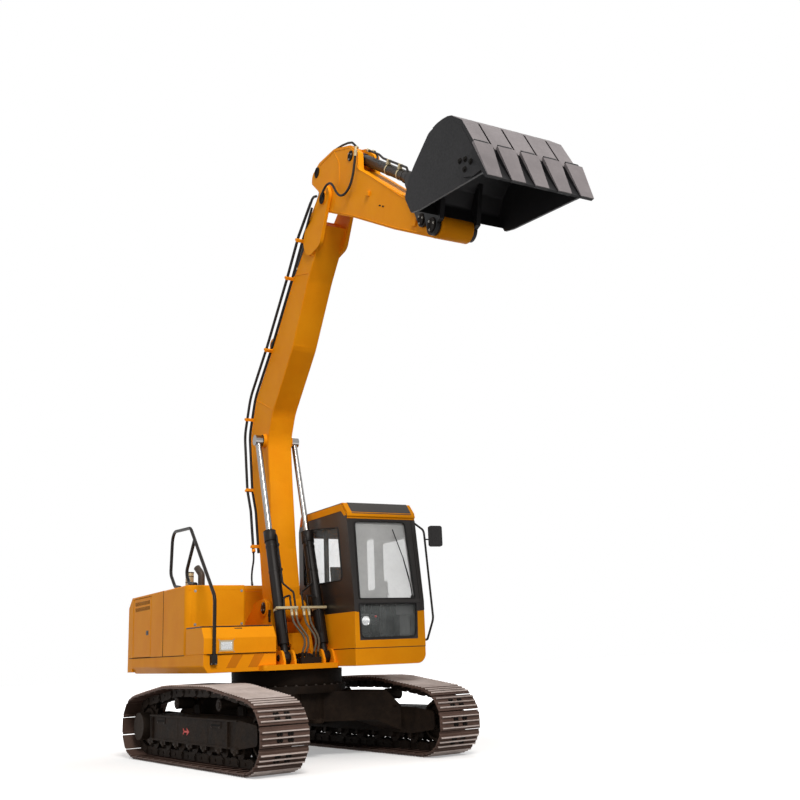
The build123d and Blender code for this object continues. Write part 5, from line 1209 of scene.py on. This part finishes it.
screen_case.block(440, 620, -1160, -1120, 2060, 2210, spin(-12, "Z"))
screen_case.tube([(470, -1100, FLOOR + 20), (470, -1110, 1900), (520, -1130, 2080)], 16, 12, 80)
screen_case.done(0.008)
screen = Kit("monitor_screen", "screen")
screen.block(455, 605, -1119, -1116, 2075, 2195, spin(-12, "Z"))
screen.done()


def cushion(name, low, high, crown, tilt=0.0, hinge=None):
    """Padded block: rounded on every side, crowned, with stitched grooves."""
    data = bpy.data.meshes.new(name)
    verts, faces = [], []
    n = 24
    half = [(b - a) / 2 for a, b in zip(low, high)]
    mid = [(a + b) / 2 for a, b in zip(low, high)]
    for side in (1, -1):
        for i in range(n + 1):
            for j in range(n + 1):
                u, v = -1 + 2 * i / n, -1 + 2 * j / n
                fall = (1 - abs(u) ** 6) ** 0.5 * (1 - abs(v) ** 6) ** 0.5
                dome = 1 - crown * (u * u + v * v) / 2
                groove = 1 - 0.10 * exp(-((abs(u) - 0.55) / 0.035) ** 2) - 0.08 * exp(-((v - 0.1) / 0.03) ** 2)
                w = side * half[2] * max(fall, 0.02) * dome * (groove if side > 0 else 1)
                verts.append((mid[0] + half[0] * u * (1 - 0.03 * v * v), mid[1] + half[1] * v, mid[2] + w))
    size = (n + 1) ** 2
    for s in range(2):
        for i in range(n):
            for j in range(n):
                a = s * size + i * (n + 1) + j
                quad = (a, a + n + 1, a + n + 2, a + 1)
                faces.append(quad if s == 0 else quad[::-1])
    rim = [i * (n + 1) for i in range(n + 1)] + [n * (n + 1) + j for j in range(1, n + 1)]
    rim += [i * (n + 1) + n for i in range(n - 1, -1, -1)] + [j for j in range(n - 1, 0, -1)]
    for a, b in zip(rim, rim[1:] + rim[:1]):
        faces.append((a, b, b + size, a + size))
    data.from_pydata([tuple(c / 1000 for c in v) for v in verts], [], faces)
    data.materials.append(M["fabric"])
    obj = add_object(name, data)
    if tilt:
        pivot = Vector(hinge) / 1000
        data.transform(Matrix.Translation(pivot) @ Matrix.Rotation(tilt, 4, "X") @ Matrix.Translation(-pivot))
    data.transform(HOUSE)
    for face in data.polygons:
        face.use_smooth = True
    bm = bmesh.new()
    bm.from_mesh(data)
    bmesh.ops.recalc_face_normals(bm, faces=bm.faces)
    bm.to_mesh(data)
    bm.free()
    soft = obj.modifiers.new("soft", "SUBSURF")
    soft.levels = soft.render_levels = 1
    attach(obj, "house")


seat_base = Kit("seat_base", "plastic")
seat_base.block(SEAT.x - 180, SEAT.x + 180, SEAT.y - 190, SEAT.y + 200, FLOOR + 2, FLOOR + 60)
for i in range(5):
    g = 6 + 8 * (i % 2)  # folds of the bellows
    seat_base.block(SEAT.x - 175 + g, SEAT.x + 175 - g, SEAT.y - 185 + g, SEAT.y + 195 - g,
                    FLOOR + 58 + i * 38, FLOOR + 98 + i * 38)
seat_base.block(SEAT.x - 220, SEAT.x + 220, SEAT.y - 240, SEAT.y + 230, FLOOR + 246, FLOOR + 275)
seat_base.prism([(SEAT.y + dy, FLOOR + dz) for dy, dz in ((200, 262), (338, 1010), (375, 1010), (290, 262))],
                0, SEAT.x - 180, SEAT.x + 180)
seat_base.done(0.008, replaces=["operator_seat"])
cushion("seat_cushion", (SEAT.x - 248, SEAT.y - 268, FLOOR + 268), (SEAT.x + 248, SEAT.y + 236, FLOOR + 398), 0.22)
cushion("seat_backrest", (SEAT.x - 238, SEAT.y + 205, FLOOR + 395), (SEAT.x + 238, SEAT.y + 865, FLOOR + 520), 0.18,
        radians(78.5), (SEAT.x, SEAT.y + 205, FLOOR + 395))

# mirror: glass on its rear side in a rim
mir_low, mir_high = corners("rear_mirror")
mx, mz = (mir_low.x + mir_high.x) / 2, (mir_low.z + mir_high.z) / 2
my = (mir_low.y + mir_high.y) / 2
turn = spin(-8, "Z")
face = Kit("mirror_glass", "mirror")
face.block(mx - 78, mx + 78, my + 20, my + 23.5, mz - 118, mz + 118, turn, (mx, my, mz))
face.done(0.002)
backing = Kit("mirror_back", "plastic")
backing.block(mx - 66, mx + 66, my - 26, my - 18, mz - 106, mz + 106, turn, (mx, my, mz))
backing.lathe((mx, my - 14, mz - 30), AHEAD, [(0, 26), (14, 24), (16, 0)], 20)
backing.done(0.006)

# seam between the cab and its plinth
plinth = Kit("cab_plinth_trim", "seal", slot="black_paint")
plinth.block(cab_r + 4, cab_l - 4, CAB_FRONT - 1.5, CAB_FRONT + 4, SILL - 6, SILL + 3)
for x0, x1 in ((cab_l - 3, cab_l + 1.5), (cab_r - 1.5, cab_r + 3)):
    plinth.block(x0, x1, CAB_FRONT + 4, CAB_REAR - 4, SILL - 6, SILL + 3)
plinth.done(0.001)


# ---------------------------------------------------------------- boom, arm, bucket and their cylinders
dress("boom arm", "yellow", 0.006)
dress("boom_pipes", "black", 0)
dress("bucket", "bucket", 0.003)
dress("rocker_levers bucket_link", "black", 0.006)

BOOM_X, ARM_X = 170.0, 150.0  # outer faces of the boxes
LIFT_EYE, ARM_EYE = (2093, 1020), (-486, 303)  # rod eyes, in the boom's and the arm's own axes
BOOM_LONG = (joint_at("arm_pivot") - joint_at("boom_pivot")).length * 1000
ARM_LONG = (joint_at("bucket_pivot") - joint_at("arm_pivot")).length * 1000


def pin_cap(kit, x, sign, u, v, r, bolts=None, t=14):
    """Cover of a pin's end, with its bolts in another piece."""
    out = Vector((sign, 0, 0))
    kit.lathe((x - sign * 2, u, v), out,
              [(0, r), (t - 4, r), (t, r - 5), (t, r * 0.45), (t - 3, r * 0.4), (t - 3, 0)], 36)
    if bolts is not None:
        bolts.bolt_ring((x + sign * (t - 2), u, v), r * 0.68, 3, out, r * 0.13, 8, 0.5)


BOOM_SEAMS = (
    [(330, -30), (800, 255), (1610, 665), (2130, 905), (2520, 870), (3440, 462), (4380, 222), (4900, 30)],
    [(150, 345), (1080, 940), (1330, 1184), (2050, 1562), (2620, 1535), (3380, 1140), (4370, 712), (4900, 420)])
CLAMPS = ((640, 744, 0.53), (1331, 1240, 0.72), (2300, 1626, 0.0), (3360, 1205, -0.48), (4390, 768, -0.4),
          (4905, 560, -0.38))  # place along and above the boom, and slope there
boom_trim = Kit("boom_trim", "yellow", "boom")
boom_caps = Kit("boom_pin_caps", "under", "boom")
boom_bolts = Kit("boom_bolts", "steel", "boom")
seams = Kit("boom_weld_seams", "yellow_low", "boom")
for sign in (-1, 1):
    pin_cap(boom_caps, sign * 218, sign, BOOM_LONG, 0, 82, boom_bolts if sign > 0 else None, 14 if sign > 0 else 8)
    pin_cap(boom_caps, sign * 212, sign, *LIFT_EYE, 84, boom_bolts, 10)
    pin_cap(boom_caps, sign * 118, sign, 3430, 1352, 52, None, 8)
    # grease bank on the side
    boom_trim.block(sign * BOOM_X - 12, sign * BOOM_X + 12, 4700, 4790, 120, 190)
    # welded seams along the lower and upper edges of the side plates, and across them
    x = sign * (BOOM_X + 0.5)
    for line in BOOM_SEAMS:
        seams.tube([(x, u, v) for u, v in line], 4.5, 6, 200, 4)
    for a, b in (((2560, 885), (2600, 1520)), ((4480, 230), (4440, 660))):
        seams.tube([(x, *a), (x, *b)], 4.5, 6)
# pipe clamps on the upper edge: base block, strap and bolt
clamps = Kit("pipe_clamps", "clamp", "boom")
for u, v, lean in CLAMPS:
    c, s = cos(atan(lean)), sin(atan(lean))
    turn = Matrix(((1, 0, 0), (0, c, -s), (0, s, c)))
    clamps.block(-276, -128, u - 22, u + 22, v - 24, v + 8, turn, (-200, u, v))
    clamps.block(-282, -122, u - 16, u + 16, v + 6, v + 26, turn, (-200, u, v))
    clamps.block(-168, -128, u - 22, u + 22, v - 92, v - 10, turn, (-148, u, v - 50))
    boom_bolts.bolt((-207, u - s * 26, v + c * 26), (0, -s, c), 10, 9)
# lower end of the outer pipe: collar
clamps.rod((-245, 575, 705), (-245, 610, 726), 26, 20)
clamps.done(0.003)
# outer pipe's upper end and cross-over pipes to the arm cylinder's base
pipes = Kit("boom_cross_pipes", "black", "boom")
pipes.tube([(-245, 5385, 292), (-245, 5440, 262), (-245, 5470, 215), (-238, 5478, 150)], 17, 12, 40)
pipes.tube([(-170, 4935, 578), (-170, 4990, 560), (-188, 5060, 470), (-236, 5200, 300), (-240, 5330, 240)],
           16, 12, 60)
pipes.tube([(-168, 3050, 1380), (-110, 3080, 1440), (-96, 3200, 1430), (-96, 3330, 1400)], 15, 12, 40)
pipes.done()
boom_trim.done(0.004)
boom_caps.done(0.003)
boom_bolts.done()
seams.done()

arm_trim = Kit("arm_trim", "yellow", "arm")
arm_dark = Kit("arm_slots", "dark", "arm")
arm_caps = Kit("arm_pin_caps", "under", "arm")
arm_bolts = Kit("arm_bolts", "steel", "arm")
arm_seams = Kit("arm_weld_seams", "yellow_low", "arm")
for sign in (-1, 1):
    pin_cap(arm_caps, sign * 250, sign, ARM_LONG, 0, 80, arm_bolts, 12)
    pin_cap(arm_caps, sign * 198, sign, ARM_LONG - 345, 27, 66, arm_bolts, 12)
    pin_cap(arm_caps, sign * ARM_X, sign, 492, 579, 66, arm_bolts, 14)
    arm_caps.lathe((sign * ARM_X, *ARM_EYE), (sign, 0, 0),
                   [(-2, 72), (8, 72), (12, 64), (12, 44), (2, 42), (2, 0)], 36)
    x = sign * (ARM_X + 0.5)
    for r, bend, steps, line in (
            (4.5, 120, 4, [(-430, 400), (-60, 605), (420, 680), (660, 615), (770, 440), (1200, 375), (2150, 205),
                           (2900, 140)]),
            (4.5, 200, 3, [(60, -140), (940, -120), (2060, -130), (2950, -110)]),
            (4, 150, 5, [(250, -130), (300, 250), (180, 480), (-40, 600)])):
        arm_seams.tube([(x, u, v) for u, v in line], r, 6, bend, steps)
    for u in (1550, 1640):
        arm_dark.prism([(u, 60), (u + 48, 60), (u + 60, 78), (u + 12, 78)], 0, x - 1, x + 1)
    arm_trim.block(x, x + sign * 26, 1180, 1260, 150, 200)
    arm_trim.block(x, x + sign * 20, 2480, 2560, -60, 70)
# fitting where the arm hose starts, on the rear corner of the hump
lead = Kit("arm_hose_fitting", "cream", "arm")
lead.rod((-184, 697, 640), (-185, 711, 584), 19, 20)
lead.rod((-184, 694, 655), (-184, 700, 628), 23, 6)
lead.tube([(-184, 696, 650), (-183, 672, 690), (-150, 640, 700), (-120, 600, 690)], 14, 12, 40)
lead.done(0.001)
arm_trim.done(0.004)
arm_dark.done()
arm_caps.done(0.003)
arm_bolts.done()
arm_seams.done()


# cylinders: gland nuts, pipes and clamps, each in its own axes; u runs from the tube's pin, f is the front side
GLAND = 1720


def tube_end(name, plane, x0, r, gland, bore, lip):
    """Gland nut and raised rings at the open end of a tube."""
    kit = Kit(name + "_gland", "under", name + "_tube", plane)
    kit.lathe((x0, gland, 0), ASTERN, [(-2, r + 4), (3, r + 4), (6, r - 2), (6, bore), (0, lip)], 40)
    for u in (gland - 152, gland - 4):
        kit.lathe((x0, u, 0), ASTERN, [(-4, r + 3), (-2, r + 11), (2, r + 11), (4, r + 3)], 40)
    kit.done(0.001)


def strap(kit, x0, u, r, half, thick=4):
    """Band round a tube."""
    kit.lathe((x0, u, 0), ASTERN, [(-half, r + 1), (-half, r + thick), (half, r + thick), (half, r + 1)], 36)


lift_eye = BOOM.at(0, *LIFT_EYE)
rods = {"boom_cylinder_right": (lift_eye, -LIFT_X, 74), "boom_cylinder_left": (lift_eye, LIFT_X, 74),
        "arm_cylinder": (ARM.at(0, *ARM_EYE), 0, 76)}
for name, (eye, x0, r) in rods.items():
    axes = Link(joint_at(name + "_swivel"), eye)
    plane = axes.matrix()
    f = 1 if axes.v.y < 0 else -1
    bolts = Kit(name + "_gland_bolts", "steel", name + "_tube", plane)
    for k in range(8):
        a = 2 * pi * k / 8 + 0.2
        bolts.bolt((x0 + (r - 14) * cos(a), GLAND + 5, (r - 14) * sin(a)), ASTERN, 8, 8)
    bolts.done()
    tube_end(name, plane, x0, r, GLAND, 50, 46)
    is_arm = name == "arm_cylinder"
    pipe = Kit(name + ("_pipe" if is_arm else "_pipes"), "black", name + "_tube", plane)
    band = Kit(name + "_bands", "cream", name + "_tube", plane)
    if is_arm:
        pipe.tube([(60, GLAND - 70, f * r * 0.9), (60, GLAND - 110, f * (r + 34)), (60, 400, f * (r + 34)),
                   (60, 330, f * (r - 4))], 14, 12, 40)
        for u in (600, 1200):
            strap(band, 0, u, r, 16)
            band.block(38, 82, u - 18, u + 18, f * (r - 10), f * (r + 54))
    else:
        # steel pipes from the gland down the inner front side to the hose clamp
        side = 1 if x0 < 0 else -1
        ends = (-142, -82) if x0 < 0 else (98, 28)
        inner = x0 + side * 63
        under, over = ends
        pipe.tube([(inner, GLAND - 60, f * 44), (inner, GLAND - 90, f * 70), (inner, 960, f * 70),
                   (over, 830, f * 90), (over, 634, f * 90)], 13, 12, 50)
        low = inner - side * 34
        pipe.tube([(low, 300, f * 66), (low, 380, f * 86), (low, 560, f * 90), (inner - side * 20, 760, f * 92),
                   (under + side * 4, 790, f * 92), (under, 740, f * 90), (under, 634, f * 90)], 13, 12, 36)
        for u in (1150, 1500):
            strap(pipe, x0, u, r, 12)
            pipe.block(inner - 20, inner + 20, u - 14, u + 14, f * 50, f * 88)
        strap(band, x0, 620, r, 14, 4.5)
        low, high = (-354, -50) if x0 < 0 else (-4, 354)
        band.block(low, high, 604, 636, f * 65, f * 106)
        for x in ends:
            band.rod((x, 604, f * 90), (x, 560, f * 90), 20.5, 6)
            band.rod((x, 562, f * 90), (x, 515, f * 90), 18.6, 24)
        for x in (low + 14, high - 14, (ends[0] + ends[1]) / 2):
            band.bolt((x, 620, f * 106), (0, 0, f), 9, 9)
    pipe.done()
    band.done(0.002)
for name in (*rods, "bucket_cylinder"):
    dress(name + "_tube", "black")
    dress(name + "_rod", "chrome", 0)

# bucket cylinder: two stepped pipes on top with their clamps
rod_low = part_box("bucket_cylinder_rod")[0]
axes = Link(joint_at("bucket_cylinder_swivel"), Vector((0, rod_low.y + 0.06, rod_low.z + 0.06)))
plane = axes.matrix()
f, r, gland = (1 if axes.v.z > 0 else -1), 66, 1480
pipe = Kit("bucket_cylinder_pipes", "black", "bucket_cylinder_tube", plane)
band = Kit("bucket_cylinder_bands", "cream", "bucket_cylinder_tube", plane)
for x, bend, line in ((-38, 50, ((gland - 70, 60), (gland - 130, 104), (700, 104), (560, 128), (250, 128))),
                      (38, 40, ((390, 58), (360, 100), (270, 128), (200, 128)))):
    pipe.tube([(x, u, f * rise) for u, rise in line], 14, 12, bend)
for u in (1180, 860):
    strap(band, 0, u, r, 14)
    band.block(-60, -14, u - 18, u + 18, f * 55, f * 118)
for x in (-38, 38):
    band.rod((x, 262, f * 128), (x, 205, f * 128), 21, 6)
pipe.done()
band.done(0.002)
tube_end("bucket_cylinder", plane, 0, r, gland, 48, 45)

# hose from its fitting back over the arm's hump
hoses = Kit("arm_top_hoses", "rubber", "arm")
hoses.tube([(-120, 560, 700), (-132, 430, 745), (-110, 250, 735), (-96, 60, 700), (-96, -120, 640)], 14, 12, 120)
hoses.done()

# bucket: worn straps, covers of the teeth, bolts of the side cutters, caps of the link's pin
plate = Kit("bucket_wear_plates", "strap", "bucket")
edge = Kit("bucket_cutter_bolts", "dark", "bucket", slot="dark_steel")
BODY_HALF = 580.0
for sign in (-1, 1):
    x = sign * (BODY_HALF + 22)
    for u, v in ((1100, 228), (1190, 215), (1280, 160), (1180, 120)):
        edge.bolt((x, u, v), (sign, 0, 0), 22, 16)
    pin_cap(plate, sign * 248, sign, -142, 398, 66, None, 10)
# outline of the straps over the floor, in the bucket's own axes
CREST = [(560, 764), (640, 780), (740, 784), (830, 777), (906, 756), (1089, 643), (1335, 302)]
UNDERSIDE = [(1325, 195), (1063, 608), (891, 711), (700, 750), (655, 760), (560, 752)]
fill = Kit("bucket_strap_bodies", "bucket", "bucket")


def taper(kit, x, outline_top, outline_tip, w_top, w_tip):
    """Tooth cover that narrows from w_top to w_tip on either side of x."""
    points = [(x + s * w_top, *p) for s in (-1, 1) for p in outline_top]
    points += [(x + s * w_tip, *p) for s in (-1, 1) for p in outline_tip]
    kit.mesh(points, [(0, 2, 3, 1), (4, 5, 7, 6), (0, 4, 6, 2), (1, 3, 7, 5), (0, 1, 5, 4), (2, 6, 7, 3)])


for i in range(5):
    x = -BODY_HALF + 60 + (2 * BODY_HALF - 120) * i / 4
    low_x, high_x = max(x - 118, 3 - BODY_HALF), min(x + 118, BODY_HALF - 3)
    fill.prism(CREST + UNDERSIDE, 0, low_x, high_x)
    plate.prism([(u + 1.5, v + 2) for u, v in CREST] + [(u - 1, v - 2) for u, v in CREST[::-1]],
                0, low_x - 1.5, high_x + 1.5)
    taper(plate, x, [(1356, 334), (1330, 316)], [(1550, -50), (1540, -54)], 102, 76)
    taper(fill, x, [(1350, 328), (1322, 200)], [(1540, -50), (1500, -58)], 100, 74)
plate.done(0.001, 1)
fill.done(0.002, 1)
edge.done(0.002)


# ---------------------------------------------------------------- floor and light
def seen_directly(nt):
    """1 for rays that come from the camera, straight or by way of glass and mirrors."""
    rays = add_node(nt, "LightPath").outputs
    bent = maths(nt, "MAXIMUM", rays["Is Glossy Ray"], rays["Is Transmission Ray"])
    return maths(nt, "MAXIMUM", rays["Is Camera Ray"], bent)


floor_mat, nt, bsdf, coords = new_material("studio_floor")
seen = seen_directly(nt)
away = add_node(nt, "VectorMath")
away.operation = "DISTANCE"
nt.links.new(add_node(nt, "NewGeometry").outputs["Position"], away.inputs[0])
away.inputs[1].default_value = (0, SWING_Y, 0)
glow = map_range(nt, away.outputs["Value"], 3.2, 7.5, 0.34, 1.0)
pale = mix_colour(nt, noise(nt, coords, 0.4, 3, 0.5), (0.84, 0.84, 0.84), (0.88, 0.88, 0.88))
for name, value in (
        ("Roughness", 0.9), ("Specular IOR Level", 0.1), ("Emission Color", (1, 1, 1)),
        ("Base Color", mix_colour(nt, seen, (0.26, 0.25, 0.24), pale)),
        ("Emission Strength", maths(nt, "MULTIPLY", seen, glow))):
    feed(nt, bsdf.inputs[name], value)
mesh = bpy.data.meshes.new("studio_floor")
mesh.from_pydata([(-60, -60, 0), (60, -60, 0), (60, 60, 0), (-60, 60, 0)], [], [(0, 1, 2, 3)])
mesh.materials.append(floor_mat)
floor = add_object("studio_floor", mesh)
floor.location.z = cad_box[0][2] - 0.001

world = bpy.data.worlds.new("studio")
bpy.context.scene.world = world
world.use_nodes = True
nt = world.node_tree
mix = add_node(nt, "MixShader")
nt.links.new(seen_directly(nt), mix.inputs[0])
for i, (background, strength) in enumerate(((nt.nodes["Background"], 0.44), (add_node(nt, "Background"), 1.0))):
    background.inputs["Color"].default_value = (1, 1, 1, 1)
    background.inputs["Strength"].default_value = strength
    nt.links.new(background.outputs[0], mix.inputs[1 + i])
nt.links.new(mix.outputs[0], nt.nodes["World Output"].inputs["Surface"])


def lamp(name, place, aim, size, power, colour=(1, 1, 1)):
    """Square area light that the camera doesn't see."""
    data = bpy.data.lights.new(name, "AREA")
    data.energy, data.size, data.color = power, size, colour
    obj = add_object(name, data)
    obj.location = place
    obj.rotation_euler = (Vector(aim) - Vector(place)).to_track_quat("-Z", "Y").to_euler()
    obj.visible_camera = False


lamp("key", (-4, SWING_Y - 17, 16), (0, SWING_Y, 2.5), 6, 3300, (1.0, 0.97, 0.93))
lamp("fill", (-17, SWING_Y - 3, 8), (0, SWING_Y, 2.5), 12, 330, (0.97, 0.98, 1.0))
lamp("rim", (10, SWING_Y + 12, 12), (0, SWING_Y, 3), 10, 800)

bpy.context.scene.view_settings.view_transform = "Standard"
